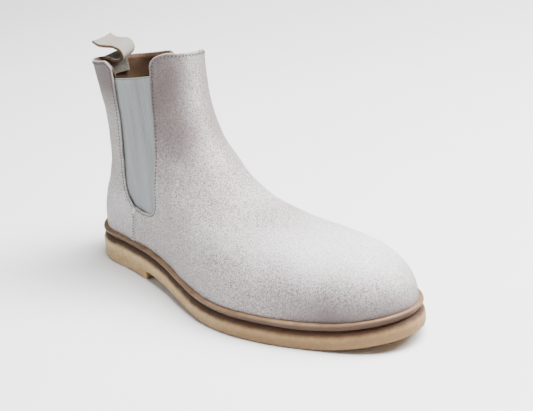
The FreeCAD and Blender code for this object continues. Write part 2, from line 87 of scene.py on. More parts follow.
ELASTIC_WIDTH, ELASTIC_OVERLAP, CORD_PITCH = 46.0, 8.0, 1.15
SEAM_TOP, SEAM_FOOT = (65, 53.9), 55.0
HEM = 0.35                      # how far the panels' lower edge reaches into the welt
FRONT_TOP, FRONT_SHOULDER = 176.0, 116.0
FRONT_CORNER = [(103, 162), (104.6, 169.5), (108.5, 174.2), (113.5, 176)]
BACK_CORNER = [(68.2, 156), (67.4, 161.8), (61.5, 166)]
COLLAR_FALL, COLLAR_SIDE = tan(radians(10.2)), -22.0
STITCH_INSET, STITCH_PITCH, STITCH_LENGTH, STITCH_WIDTH, STITCH_HEIGHT = 1.8, 2.6, 1.65, 1.0, 0.6
BARTACK_ENDS, BARTACK_DROP, BARTACK_DRIFT, BARTACK_THREAD = (62.6, 67.2), 0.55, 0.22, 0.5
BACK_TOP = 158.5
BACK_TOPLINE = [BACK_CORNER[-1], (50, 163.4), (36, 160.6), (22, BACK_TOP), (10, BACK_TOP)]
SUEDE, MIDDLE_OUT, MIDDLE_IN, LINING_OUT, LINING_IN = 1.5, 1.65, 2.75, 2.9, 3.9
TAB_LINE = [(36, 158.3), (41, 157.2), (46.5, 158.2), (49, 161.5), (47, 165.3), (41, 167), (34, 166.8),
            (28, 167), (22.5, 169.5)]
TAB_WIDTH, TAB_THICK, TAB_TURN, TAB_CENTRE = 21.0, 2.2, radians(13), -5.0
TAB_PULL = 7.0                  # how far the fold's far side lies behind its near side
TAB_ROOT = (143.0, 154.5)       # heights of the sewn part
TAB_RISE = (152.0, 159.5)       # heights over which the strap leaves the leg's curve
TAB_BED_TOP = 156.0             # above this height the leg's curve is taken as it is here


# ---------------- curve arithmetic
def smooth(points, at):
    """Cubic through the points (first value -> second value), held level past both ends."""
    xs, ys = np.array(points, float).T
    slope = np.empty_like(ys)
    slope[1:-1] = (ys[2:] - ys[:-2]) / (xs[2:] - xs[:-2])
    slope[0] = (ys[1] - ys[0]) / (xs[1] - xs[0])
    slope[-1] = (ys[-1] - ys[-2]) / (xs[-1] - xs[-2])
    at = np.clip(at, xs[0], xs[-1])
    k = np.clip(np.searchsorted(xs, at, "right") - 1, 0, len(xs) - 2)
    span = xs[k + 1] - xs[k]
    part = (at - xs[k]) / span
    square, cube = part ** 2, part ** 3
    return ((2 * cube - 3 * square + 1) * ys[k] + (cube - 2 * square + part) * span * slope[k]
            + (3 * square - 2 * cube) * ys[k + 1] + (cube - square) * span * slope[k + 1])


def ease(low, high, at):
    """0 below low, 1 above high, smooth between."""
    part = np.clip((np.asarray(at, float) - low) / (high - low), 0.0, 1.0)
    return part * part * (3 - 2 * part)


def round_end(distance, length):
    """Quarter ellipse: 0 at the end of a shape, 1 from length on."""
    part = np.clip(np.asarray(distance, float) / length, 0.0, 1.0)
    return np.sqrt(1 - (1 - part) ** 2)


def lengths(line):
    """Length along a polyline up to each of its points."""
    return np.concatenate([[0], np.cumsum(np.linalg.norm(np.diff(line, axis=0), axis=1))])


def curve_through(points, count):
    """Evenly spaced points on a smooth curve through a few points."""
    given = np.array(points, float)
    along = lengths(given)
    dense = np.linspace(0, along[-1], 40 * len(given))
    line = np.stack([smooth(list(zip(along, column)), dense) for column in given.T], 1)
    return even(line, count)


def even(line, count):
    """A polyline divided into count points at equal spacing."""
    along = lengths(line)
    places = np.linspace(0, along[-1], count)
    return np.stack([np.interp(places, along, column) for column in line.T], 1)


def shifted(points, distance):
    """A polyline moved to its left by distance."""
    points = np.array(points, float)
    run = np.gradient(points, axis=0)
    run /= np.linalg.norm(run, axis=1)[:, None]
    return points + distance * np.stack([-run[:, 1], run[:, 0]], 1)


def unit(vectors):
    """Vectors scaled to length 1."""
    return vectors / np.maximum(np.linalg.norm(vectors, axis=-1, keepdims=True), 1e-9)


def lumps(points, size, seed, waves=28):
    """Smooth deterministic unevenness about -1..1 with features of the given size."""
    rng = np.random.default_rng(seed)
    directions = unit(rng.normal(size=(waves, 3)))
    wave = 2 * pi / (size * rng.uniform(0.7, 1.6, waves))
    phase = rng.uniform(0, 2 * pi, waves)
    total = np.zeros(points.shape[:-1])
    for direction, number, start in zip(directions, wave, phase):
        total += np.sin(points @ direction * number + start)
    return total / (waves / 2) ** 0.5 / 1.6


def underside(x):
    """Height of the outsole's underside: heel seat, waist, tread and toe spring."""
    x = np.asarray(x, float)
    waist = HEEL_HEIGHT * (1 - ease(HEEL_BREAST, TREAD_START, x))
    spring = TOE_SPRING * ((x - TREAD_END) / (LENGTH - TREAD_END)) ** 2
    return np.where(x > TREAD_END, spring, waist)


# ---------------- the last's surface
class Last:
    """The upper's surface moved inwards by depth, reached by (level, turn)."""

    def __init__(self, depth):
        self.depth = depth
        front = shifted(FRONT_LINE, -depth)
        self.front = sorted((z - x * TILT, x) for x, z in front)
        self.back = [(z, x) for x, z in shifted([(x, z) for z, x in BACK_LINE], -depth)]
        levels = np.linspace(self.front[0][0], self.front[-1][0], 4000)
        line = smooth(self.front, levels)
        self.front_heights, self.front_places = levels + line * TILT, line
        instep = int(np.argmin(line > line[-1] + 0.3))      # the part ahead of the leg's top
        self.ridge_places = line[:instep][::-1]
        self.ridge_heights = self.front_heights[:instep][::-1]
        self.ridge_top = levels[-1]

    def ridge(self, x):
        """Greatest height of the surface over a place along the boot."""
        leg_top = self.ridge_top + x * TILT
        instep = np.interp(x, self.ridge_places, self.ridge_heights)
        return np.where(x <= self.ridge_places[0], leg_top, instep)

    def half(self, x, z):
        """Half width: the foot's arched section fades into the leg's rounded one."""
        leg_share = ease(*FOOT_TO_LEG, z)
        inset = WELT_LEDGE + self.depth
        back = smooth(self.back, z)
        front = np.interp(z, self.front_heights, self.front_places)
        top = np.maximum(self.ridge(x), FEATHER + 1)
        rise = np.clip((z - FEATHER) / (top - FEATHER), 0.0, 1.0)
        foot = (smooth(SOLE_HALF, x) - inset) * (1 - rise ** ARCH_RISE) ** (1 / ARCH_ROUND)
        foot = foot * round_end(x - back, HEEL_ROUND - inset)
        foot = foot * round_end(LENGTH - inset - x, TOE_ROUND - inset)
        off_centre = np.clip(np.abs(x - (back + front) / 2) / ((front - back) / 2), 0.0, 1.0)
        leg = (smooth(LEG_HALF, z) - self.depth) * (1 - off_centre ** LEG_ROUND) ** (1 / LEG_ROUND)
        return foot * (1 - leg_share) + leg * leg_share

    def centre(self, x, z):
        """y of the middle between the two sides."""
        leg_share = ease(*FOOT_TO_LEG, z)
        return smooth(SOLE_CENTRE, x) * (1 - leg_share) + smooth(LEG_CENTRE, z) * leg_share

    def ends(self, level):
        """Back and front x of the tilted section at a level."""
        back = np.full_like(np.asarray(level, float), smooth(self.back, 0.0))
        for _ in range(12):
            back = smooth(self.back, level + back * TILT)
        return back, smooth(self.front, level)

    def points(self, level, turn):
        """Points of the surface; turn runs from the back along the outer side to the front and round."""
        level, turn = np.broadcast_arrays(np.asarray(level, float), np.asarray(turn, float))
        back, front = self.ends(level)
        x = (back + front) / 2 - (front - back) / 2 * np.cos(turn)
        z = level + x * TILT
        side = np.where(np.sin(turn) >= 0, -1.0, 1.0)
        return np.stack([x, self.centre(x, z) + side * self.half(x, z), z], -1)

    def normals(self, level, turn):
        """Outward unit normals by finite differences."""
        up = self.points(level + 0.6, turn) - self.points(level - 0.6, turn)
        along = self.points(level, turn + 0.02) - self.points(level, turn - 0.02)
        return unit(np.cross(along, up))

    def address(self, x, z, side):
        """(level, turn) of a side-view place on the outer (-1) or inner (+1) side."""
        x, z = np.asarray(x, float), np.asarray(z, float)
        level = z - x * TILT
        back, front = self.ends(level)
        turn = np.arccos(np.clip(((back + front) / 2 - x) / ((front - back) / 2), -1, 1))
        return level, np.where(side < 0, turn, 2 * pi - turn)


def fall(points):
    """How far the collar lies below its side-view pattern: it sinks towards the inner side."""
    return COLLAR_FALL * np.maximum(points[..., 1] - COLLAR_SIDE, 0) * ease(100, 145, points[..., 2])


def side_view(points):
    """Side-view place (x, height) on the patterns of points of the upper."""
    return points[..., 0], points[..., 2] + fall(points)


def pattern_points(last, x, z, side):
    """Address of the surface point that lies at a place of the side-view patterns."""
    height = np.array(z, float)
    for _ in range(12):
        level, turn = last.address(x, height, side)
        height = z - fall(last.points(level, turn))
    return last.address(x, height, side)


# ---------------- the frame's place and mesh helpers
def outline(inset, turns):
    """Footprint drawn inset from the crepe edge: x and y for turns from the heel round the outer side."""
    x = LENGTH / 2 - (LENGTH / 2 - inset) * np.cos(turns)
    half = ((smooth(SOLE_HALF, x) - inset) * round_end(x - inset, HEEL_ROUND - inset)
            * round_end(LENGTH - inset - x, TOE_ROUND - inset))
    return x, smooth(SOLE_CENTRE, x) + np.where(np.sin(turns) >= 0, -1, 1) * half


SOLE_LOW, SOLE_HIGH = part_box("outsole")
FOOTPRINT = outline(0.0, np.linspace(0, 2 * pi, 2000))[1]
SOLE_MIDDLE = (SOLE_LOW.y + SOLE_HIGH.y) / 2 / MM
SHIFT = np.array([SOLE_LOW.x / MM, SOLE_MIDDLE - (FOOTPRINT.min() + FOOTPRINT.max()) / 2, 0])


def to_frame(points):
    """Design millimetres to metres in the frame."""
    return (np.asarray(points, float) + SHIFT) * MM


def place(x, y, z):
    """A design place as a tuple of metres."""
    return tuple(to_frame([x, y, z]))


def make_piece(name, points, faces, materials, body=None, slot=None, attributes=None, face_slots=None):
    """A smooth-shaded mesh object from design points and faces."""
    mesh = bpy.data.meshes.new(name)
    mesh.from_pydata(to_frame(points).tolist(), [], [list(map(int, face)) for face in faces])
    mesh.validate()
    for label, values in (attributes or {}).items():
        layer = mesh.attributes.new(label, "FLOAT", "POINT")
        layer.data.foreach_set("value", np.asarray(values, np.float32))
    for material in materials:
        mesh.materials.append(material)
    mesh.polygons.foreach_set("use_smooth", [True] * len(mesh.polygons))
    if face_slots is not None:
        mesh.polygons.foreach_set("material_index", np.asarray(face_slots, np.int32))
    mesh.update()
    piece = bpy.data.objects.new(name, mesh)
    bpy.context.scene.collection.objects.link(piece)
    if body:
        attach(piece, body)
    return piece


def grid_faces(rows, columns, closed_rows=False, closed_columns=False, flip=False):
    """Quads of a grid of rows x columns points, row by row."""
    faces = []
    for i in range(rows if closed_rows else rows - 1):
        below = ((i + 1) % rows) * columns
        for j in range(columns if closed_columns else columns - 1):
            beside = (j + 1) % columns
            face = (i * columns + j, i * columns + beside, below + beside, below + j)
            faces.append(face[::-1] if flip else face)
    return faces


# ---------------- materials
class Nodes:
    """A small helper that adds shader nodes and links them."""

    def __init__(self, name):
        self.material = bpy.data.materials.new(name)
        self.material.use_nodes = True
        self.tree = self.material.node_tree
        self.shader = self.tree.nodes["Principled BSDF"]
        self.place = self.add("ShaderNodeTexCoord").outputs["Object"]

    def add(self, kind, links=None, **settings):
        node = self.tree.nodes.new(kind)
        for key, value in settings.items():
            setattr(node, key, value)
        for socket, value in (links or {}).items():
            self.put(node.inputs[socket], value)
        return node

    def put(self, socket, value):
        if isinstance(value, bpy.types.NodeSocket):
            self.tree.links.new(value, socket)
        elif socket.type == "RGBA":
            socket.default_value = (*value, 1)
        else:
            socket.default_value = value

    def noise(self, scale, detail=3.0, roughness=0.6, stretch=None, distortion=0.0):
        place = self.place
        if stretch:
            place = self.add("ShaderNodeMapping", {"Vector": place, "Scale": stretch}).outputs[0]
        links = {"Vector": place, "Scale": scale, "Detail": detail, "Roughness": roughness,
                 "Distortion": distortion}
        return self.add("ShaderNodeTexNoise", links).outputs[0]

    def cells(self, scale, feature="F1"):
        links = {"Vector": self.place, "Scale": scale}
        return self.add("ShaderNodeTexVoronoi", links, feature=feature).outputs[0]

    def ramp(self, factor, *stops):
        """Maps a factor through colour or grey stops (position, value)."""
        node = self.add("ShaderNodeValToRGB", {"Fac": factor})
        band = node.color_ramp
        while len(band.elements) < len(stops):
            band.elements.new(0.5)
        for element, (position, value) in zip(band.elements, stops):
            element.position = position
            element.color = (*value, 1) if isinstance(value, tuple) else (value, value, value, 1)
        return node.outputs[0]

    def mix(self, factor, low, high):
        """Mixes two colours; a colour mix has its colours at inputs 6 and 7."""
        node = self.add("ShaderNodeMix", data_type="RGBA")
        for index, value in ((0, factor), (6, low), (7, high)):
            self.put(node.inputs[index], value)
        return node.outputs[2]

    def maths(self, operation, *values):
        node = self.add("ShaderNodeMath", operation=operation)
        for socket, value in zip(node.inputs, values):
            self.put(socket, value)
        return node.outputs[0]

    def total(self, *shares):
        """Weighted sum of (factor, weight) pairs."""
        first, *rest = [self.maths("MULTIPLY", factor, weight) for factor, weight in shares]
        for part in rest:
            first = self.maths("ADD", first, part)
        return first

    def attribute(self, name):
        node = self.add("ShaderNodeAttribute", attribute_name=name, attribute_type="GEOMETRY")
        return node.outputs["Fac"]

    def uneven(self, name, pattern, amount):
        """An attribute varied by a pattern that lies about 0.5."""
        off = self.maths("MULTIPLY", self.maths("SUBTRACT", pattern, 0.5), amount)
        return self.maths("ADD", self.attribute(name), off)

    def bump(self, *layers):
        """Bumps on top of each other, each (height, strength, distance in mm)."""
        normal = None
        for height, strength, distance in layers:
            links = {"Height": height, "Strength": strength, "Distance": distance * MM}
            node = self.add("ShaderNodeBump", links)
            if normal:
                self.put(node.inputs["Normal"], normal)
            normal = node.outputs[0]
        self.put(self.shader.inputs["Normal"], normal)

    def finish(self, colour, roughness, **constants):
        self.put(self.shader.inputs["Base Color"], colour)
        self.put(self.shader.inputs["Roughness"], roughness)
        for socket, value in constants.items():
            self.put(self.shader.inputs[socket.replace("_", " ")], value)
        return self.material


def suede_material(name, dark, light, edge, pale, groove_at):
    """Napped leather: fine mottling, paler raw edges and a stitched groove, with painted shade and highlight
    from the shade attribute, cut edges darkened partly as painted shadow, and painted shade in a dark line
    at the welt and fading up from it.
    """
    n = Nodes(name)
    nap = n.noise(1000, 6, 0.75)
    brushed = n.noise(230, 3, 0.6, stretch=(1.0, 1.0, 0.6))
    tone = n.total((nap, 0.9), (brushed, 0.06), (n.noise(32, 3, 0.5), 0.04))
    colour = n.ramp(tone, (0.405, dark), (0.58, light))
    # painted shade and highlight from the shade attribute, partly the nap's own tone
    shaded = n.attribute("shade")
    darkest = tuple(0.9 * value for value in dark)
    colour = n.mix(n.ramp(shaded, (0.0, 0.0), (1.0, 0.92)), colour, darkest)
    # painted highlight: paler on the toe's top and low on the heel, mottled by the nap
    painted_highlight = n.ramp(n.maths("MULTIPLY", shaded, -1.0), (0.0, 0.0), (1.0, 0.9))
    colour = n.mix(n.maths("MULTIPLY", painted_highlight, n.ramp(tone, (0.42, 0.55), (0.56, 1.0))), colour, pale)
    rim = n.attribute("rim")
    worn = n.ramp(n.maths("ADD", rim, n.maths("MULTIPLY", nap, 0.6)), (0.3, 1.0), (0.9, 0.0))
    colour = n.mix(n.maths("MULTIPLY", worn, 0.6), colour, edge)
    # cut edges darker towards the inner skin: partly the edge's own colour, partly painted shadow
    cut = n.ramp(n.attribute("cut"), (0.5, 0.0), (0.85, 0.9))
    colour = n.mix(cut, colour, (0.10, 0.08, 0.075))
    low = n.attribute("low")
    # painted shade: a thin dark line just above the welt
    crease = n.ramp(n.maths("MULTIPLY", low, 0.1), (0.02, 0.85), (0.13, 0.0))
    colour = n.mix(crease, colour, (0.16, 0.12, 0.11))
    # painted shade: darker towards the welt, fading out about 25 mm above it
    low_painted_shade = n.ramp(n.maths("MULTIPLY", low, 0.02), (0.0, 0.22), (0.5, 0.0))
    colour = n.mix(low_painted_shade, colour, (0.27, 0.23, 0.24))
    off_line = n.maths("ABSOLUTE", n.maths("SUBTRACT", rim, groove_at))
    groove = n.ramp(off_line, (0.0, 0.0), (0.8, 1.0))
    fluff = n.noise(1500, 3, 0.7)
    n.bump((groove, 0.35, 0.4), (brushed, 0.3, 0.5), (nap, 0.8, 0.7), (fluff, 0.5, 0.25))
    return n.finish(colour, n.ramp(nap, (0.3, 0.88), (0.7, 1.0)), Sheen_Weight=0.2,
                    Sheen_Roughness=0.5, Specular_IOR_Level=0.1, Sheen_Tint=(0.97, 0.95, 0.97))


def elastic_material():
    """Ribbed elastic webbing: rubber cords under grey yarn."""
    n = Nodes("ribbed_elastic")
    wave = n.maths("SINE", n.maths("MULTIPLY", n.attribute("rib"), 2 * pi))
    cords = n.maths("ADD", n.maths("MULTIPLY", wave, 0.5), 0.5)
    yarn = n.noise(1500, 2, 0.5, stretch=(1, 1, 0.35))
    slub = n.noise(190, 3, 0.5, stretch=(1, 1, 0.06))
    tone = n.total((cords, 0.22), (yarn, 0.3), (slub, 0.65))
    colour = n.ramp(tone, (0.3, (0.155, 0.168, 0.172)), (0.85, (0.31, 0.328, 0.334)))
    band = n.attribute("band")
    colour = n.mix(n.ramp(band, (0.55, 0.8), (0.95, 0.0)), colour, (0.075, 0.085, 0.08))
    picks = n.maths("SINE", n.maths("MULTIPLY", band, 2 * pi / 0.62))
    n.bump((cords, 0.35, 0.3), (picks, 0.18, 0.15), (yarn, 0.35, 0.15))
    return n.finish(colour, n.ramp(yarn, (0.3, 0.62), (0.7, 0.85)), Sheen_Weight=0.15,
                    Specular_IOR_Level=0.3)


def leather_material(name, dark, light, smoothest=0.42, roughest=0.62):
    """Smooth lining leather with fine pores, rubbed between its smoothest and roughest gloss."""
    n = Nodes(name)
    pores = n.cells(820, "DISTANCE_TO_EDGE")
    cloud = n.noise(45, 4, 0.6)
    fine = n.noise(900, 3, 0.6)
    colour = n.ramp(n.total((cloud, 0.7), (fine, 0.3)), (0.36, dark), (0.66, light))
    creases = n.ramp(pores, (0.0, 0.0), (0.09, 1.0))
    n.bump((cloud, 0.2, 0.6), (creases, 0.3, 0.12), (fine, 0.25, 0.1))
    return n.finish(colour, n.ramp(cloud, (0.35, smoothest), (0.7, roughest)), Specular_IOR_Level=0.4)


def crepe_material():
    """Natural crepe rubber: cloudy honey colour, dark specks, pitted sides, painted shade towards the
    forefoot and low on the side, and edge stain with painted shade at its top under the welt.
    """
    n = Nodes("natural_crepe")
    cloud = n.noise(70, 5, 0.65, distortion=0.6)
    drawn = n.noise(320, 4, 0.7, stretch=(1, 1, 0.75))
    grains = n.noise(900, 3, 0.7)
    tone = n.total((cloud, 0.5), (drawn, 0.35), (grains, 0.2))
    colour = n.ramp(tone, (0.38, (0.33, 0.19, 0.075)), (0.52, (0.54, 0.365, 0.17)),
                    (0.68, (0.72, 0.55, 0.31)))
    specks = n.ramp(n.cells(330), (0.05, 1.0), (0.24, 0.0))
    rare = n.ramp(n.noise(210, 2, 0.5), (0.52, 0.0), (0.58, 1.0))
    freckles = n.maths("MULTIPLY", n.maths("MULTIPLY", specks, rare), 0.75)
    colour = n.mix(freckles, colour, (0.20, 0.10, 0.045))
    pits = n.ramp(grains, (0.33, 0.0), (0.5, 1.0))
    # painted shade: darker towards the forefoot and low on the side
    crepe_shade_mask = n.ramp(n.uneven("painted_shade", cloud, 0.9), (0.0, 0.0), (1.0, 0.88))
    colour = n.mix(crepe_shade_mask, colour, (0.175, 0.095, 0.037))
    # edge stain and painted shade on the crepe's top under the welt, from the tint
    stain_and_shade = n.ramp(n.uneven("tint", cloud, 0.5), (0.35, 0.0), (0.9, 0.95))
    colour = n.mix(stain_and_shade, colour, (0.055, 0.022, 0.010))
    n.bump((drawn, 0.45, 0.6), (pits, 0.4, 0.3), (specks, -0.2, 0.2))
    return n.finish(colour, n.ramp(cloud, (0.35, 0.55), (0.65, 0.78)), Subsurface_Weight=0.12,
                    Subsurface_Scale=0.004, Specular_IOR_Level=0.35)


def welt_material(name, dark, light, gloss, stain_and_shade=None):
    """Edge-finished leather strip with drawn fibres, where asked darkened by its tint: edge stain and
    painted shade.
    """
    n = Nodes(name)
    fibres = n.noise(240, 5, 0.7, stretch=(0.35, 0.35, 1.6))
    cloud = n.noise(34, 3, 0.6)
    fine = n.noise(1100, 3, 0.7)
    tone = n.total((fibres, 0.5), (cloud, 0.35), (fine, 0.15))
    colour = n.ramp(tone, (0.36, dark), (0.64, light))
    if stain_and_shade:
        # edge stain and painted shade, darker towards the welt's underside, from the tint
        colour = n.mix(n.ramp(n.attribute("tint"), (0.05, 0.0), (0.75, 1.0)), colour, stain_and_shade)
    n.bump((fibres, 0.3, 0.35), (fine, 0.3, 0.12))
    return n.finish(colour, n.ramp(fibres, (0.3, gloss), (0.7, gloss + 0.18)), Specular_IOR_Level=0.4)


def thread_material(name, dark, light):
    """Twisted sewing thread."""
    n = Nodes(name)
    twist = n.noise(1400, 2, 0.5)
    colour = n.ramp(twist, (0.35, dark), (0.65, light))
    n.bump((twist, 0.5, 0.1))
    return n.finish(colour, n.ramp(twist, (0.3, 0.6), (0.7, 0.8)), Sheen_Weight=0.2)


def board_material(name, dark, light, scale):
    """Fibre board, cork or stiffener: granular and matt."""
    n = Nodes(name)
    grain = n.noise(scale, 4, 0.7)
    specks = n.cells(scale * 1.7)
    colour = n.ramp(grain, (0.35, dark), (0.65, light))
    colour = n.mix(n.ramp(specks, (0.1, 0.5), (0.5, 0.0)), colour, dark)
    n.bump((grain, 0.4, 0.3), (specks, 0.2, 0.2))
    return n.finish(colour, n.ramp(grain, (0.3, 0.8), (0.7, 0.95)), Specular_IOR_Level=0.25)


def steel_material():
    """Drawn spring steel."""
    n = Nodes("spring_steel")
    drawn = n.noise(600, 3, 0.6, stretch=(0.08, 1, 1))
    colour = n.ramp(drawn, (0.3, (0.42, 0.42, 0.44)), (0.7, (0.6, 0.6, 0.62)))
    n.bump((drawn, 0.15, 0.05))
    return n.finish(colour, n.ramp(drawn, (0.3, 0.28), (0.7, 0.42)), Metallic=1.0)


def tape_material():
    """Woven cotton reinforcing tape."""
    n = Nodes("woven_tape")
    links = {"Vector": n.place, "Scale": 700.0, "Mortar Size": 0.03, "Mortar": (0.4, 0.37, 0.32),
             "Color1": (0.72, 0.69, 0.62), "Color2": (0.62, 0.59, 0.53)}
    colour, gaps = n.add("ShaderNodeTexBrick", links).outputs[:2]
    n.bump((gaps, -0.4, 0.15))
    return n.finish(colour, n.ramp(n.noise(800), (0.3, 0.8), (0.7, 0.95)), Sheen_Weight=0.2)


NO_GROOVE = -9.0                # a distance from the rim that no place has, for suede without a seam
# pale is the colour of the painted highlight on the suede
SUEDE_LOOK = suede_material("pale_suede", dark=(0.133, 0.104, 0.100), light=(0.57, 0.54, 0.535),
                            edge=(0.42, 0.39, 0.375), pale=(0.80, 0.78, 0.78), groove_at=STITCH_INSET)
ELASTIC_LOOK = elastic_material()
LINING_LOOK = leather_material("brown_lining", (0.055, 0.030, 0.018), (0.125, 0.072, 0.042))
SOCK_LOOK = leather_material("sock_leather", (0.085, 0.048, 0.028), (0.16, 0.095, 0.058), 0.5, 0.68)
CREPE_LOOK = crepe_material()
# the welt's stain colour, also its painted shade
WELT_LOOK = welt_material("tan_welt", (0.115, 0.062, 0.029), (0.30, 0.185, 0.095), 0.45,
                          stain_and_shade=(0.05, 0.022, 0.010))
MIDSOLE_LOOK = welt_material("dark_edge", (0.05, 0.023, 0.012), (0.11, 0.053, 0.03), 0.55)
THREAD_LOOK = thread_material("grey_thread", (0.022, 0.019, 0.018), (0.07, 0.062, 0.06))
PALE_THREAD_LOOK = thread_material("pale_thread", (0.62, 0.60, 0.58), (0.82, 0.80, 0.78))
STRAP_LOOK = suede_material("strap_suede", dark=(0.17, 0.157, 0.132), light=(0.285, 0.267, 0.232),
                            edge=(0.25, 0.228, 0.19), pale=(0.34, 0.32, 0.28), groove_at=NO_GROOVE)
STRAP_EDGE_LOOK = welt_material("strap_raw_edge", (0.075, 0.045, 0.025), (0.26, 0.175, 0.105), 0.7)
HIDDEN_LOOKS = {
    "toe_puff": board_material("stiffener", (0.50, 0.45, 0.37), (0.70, 0.65, 0.56), 420),
    "insole_board": board_material("fibre_board", (0.33, 0.25, 0.17), (0.50, 0.40, 0.29), 500),
    "bottom_filler": board_material("cork", (0.24, 0.14, 0.07), (0.52, 0.36, 0.21), 240),
    "shank": steel_material(),
    "front_collar_tape": tape_material(),
}
HIDDEN_LOOKS["heel_counter"] = HIDDEN_LOOKS["toe_puff"]
HIDDEN_LOOKS["back_collar_tape"] = HIDDEN_LOOKS["front_collar_tape"]


def paint_hidden_nodes():
    """Finishes for the frame's own pieces that stay inside the boot."""
    for node, material in HIDDEN_LOOKS.items():
        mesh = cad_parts[node].data
        mesh.materials.clear()
        mesh.materials.append(material)


# ---------------- unevenness of the worn-in leather, and painted light and shade on the suede
WRINKLES = [((112, 101), (15, 9), -0.8), ((118, 88), (20, 8), 0.45)]   # place, reach, height


def relief(points):
    """How far the upper stands out (mm) at design points: soft waves and a crease above the instep."""
    stand = 0.28 * lumps(points, 46.0, 3) + 0.10 * lumps(points, 15.0, 4)
    for (x, z), (long, high), amount in WRINKLES:
        off = ((points[..., 0] - x) / long) ** 2 + ((points[..., 2] - z) / high) ** 2
        stand = stand + np.exp(-off) * amount
    return stand


def shade(points):
    """Painted light and shade on the suede, partly the nap's own tone, 1 darkest and -1 palest: painted
    shade on the leg's sides (where the nap is also darker), at the back's top and low on the vamp, painted
    highlight on top of the toe and low on the heel."""
    x, z = points[..., 0], points[..., 2]
    leg = ease(-6, 17, np.abs(points[..., 1] + 5)) * ease(92, 99, x) * ease(66, 128, z) * 0.9
    back = ease(112, 158, z) * (1 - ease(66, 72, x)) * 1.3
    vamp = (1 - ease(20, 46, z)) * ease(205, 262, x) * 0.95
    toe = ease(36, 60, z) * ease(175, 255, x) * 0.9
    heel = (1 - ease(50, 82, z)) * (1 - ease(45, 75, x)) * 0.45
    return leg + back + vamp - toe - heel + 0.12 * lumps(points, 40.0, 51)


# ---------------- side-view patterns
def feather_line(start, end, count, lift):
    """The upper's lower edge in the side view, lifted above the welt."""
    x = np.linspace(start, end, count)
    return np.stack([x, underside(x) + FEATHER_LIFT + lift], 1)


def wavy(line, amount, seed):
    """A line made slightly uneven, as a cut edge is never quite straight."""
    spread = np.stack([line[:, 0], np.zeros(len(line)), line[:, 1]], 1)
    return line + amount * np.stack([lumps(spread, 13.0, seed), lumps(spread, 13.0, seed + 1)], 1)


SEAM_LINE = np.array([(55.4, 17), (56.6, 22), (60.5, 36), SEAM_TOP])     # from the welt to the elastic
SEAM_OVERLAP, SEAM_COUNT = 1.4, 30


def front_edges(grow=0.0):
    """Open edge of the front panel in the side view, from the welt up and to the top's level part."""
    seam = curve_through(SEAM_LINE, SEAM_COUNT)
    bottom = curve_through([SEAM_TOP] + [p for p in GUSSET_BOTTOM if p[0] > SEAM_TOP[0]], 40)
    side = curve_through(GUSSET_FRONT, 60)
    corner = curve_through(FRONT_CORNER, 20)
    line = np.concatenate([seam, bottom[1:], side[1:], corner[1:], [(FRONT_SHOULDER, FRONT_TOP)]])
    return shifted(line, grow)


def front_pattern(grow=0.0, seed=11):
    """Closed outline of the front panel; in front and below it runs outside the upper's surface."""
    open_edge = wavy(front_edges(grow), 0.18, seed)
    top = np.stack([np.linspace(FRONT_SHOULDER + 1, 150, 40), np.full(40, FRONT_TOP + grow)], 1)
    foot = feather_line(SEAM_FOOT, LENGTH + 15, 120, -HEM)[::-1]
    return np.concatenate([open_edge, wavy(top, 0.22, seed + 2), [(LENGTH + 20, FRONT_TOP + 20)], foot])


def back_edges(grow=0.0):
    """Open edge of the back panel in the side view, from the welt up and to the back of the heel."""
    seam = curve_through(SEAM_LINE + [SEAM_OVERLAP, 0], SEAM_COUNT)
    first = (SEAM_TOP[0] + SEAM_OVERLAP, SEAM_TOP[1])
    bottom = curve_through([first] + [p for p in GUSSET_BOTTOM[::-1] if p[0] < SEAM_TOP[0]], 24)
    side = curve_through(GUSSET_REAR[::-1], 60)
    corner = curve_through(BACK_CORNER, 16)
    top = curve_through(BACK_TOPLINE, 40)
    line = np.concatenate([seam, bottom[1:], side[1:], corner[1:], top[1:]])
    return shifted(line, -grow)


def back_pattern(grow=0.0, seed=21):
    """Closed outline of the back panel; behind it runs outside the upper's surface."""
    open_edge = wavy(back_edges(grow), 0.18, seed)
    foot = feather_line(0, SEAM_FOOT + SEAM_OVERLAP, 20, -HEM)
    return np.concatenate([open_edge, [(-20, BACK_TOP), (-20, foot[0, 1])], foot])


def open_distance(line, x, z):
    """Distance in the side view to an open polyline."""
    nearest = np.full(np.shape(x), 1e9)
    for start, end in zip(line, line[1:]):
        run = end - start
        off_x, off_z = x - start[0], z - start[1]
        share = np.clip((off_x * run[0] + off_z * run[1]) / max(run @ run, 1e-12), 0, 1)
        nearest = np.minimum(nearest, (off_x - share * run[0]) ** 2 + (off_z - share * run[1]) ** 2)
    return np.sqrt(nearest)


def inside_distance(pattern, x, z):
    """Signed distance in the side view to a closed pattern, positive inside."""
    closed = np.concatenate([pattern, pattern[:1]])
    inside = np.zeros(np.shape(x), bool)
    for (ax, az), (bx, bz) in zip(closed, closed[1:]):
        if az != bz:
            crosses = (az > z) != (bz > z)
            inside ^= crosses & (x < ax + (z - az) / (bz - az) * (bx - ax))
    return open_distance(closed, x, z) * np.where(inside, 1, -1)


# ---------------- a lasted panel as a closed thin solid
LEVELS = np.arange(-158, 153, 1.3)
TURNS = np.linspace(0, 2 * pi, 440, endpoint=False)
NO_EDGE = 9.0                   # stands for the share of a grid line that the edge doesn't cross


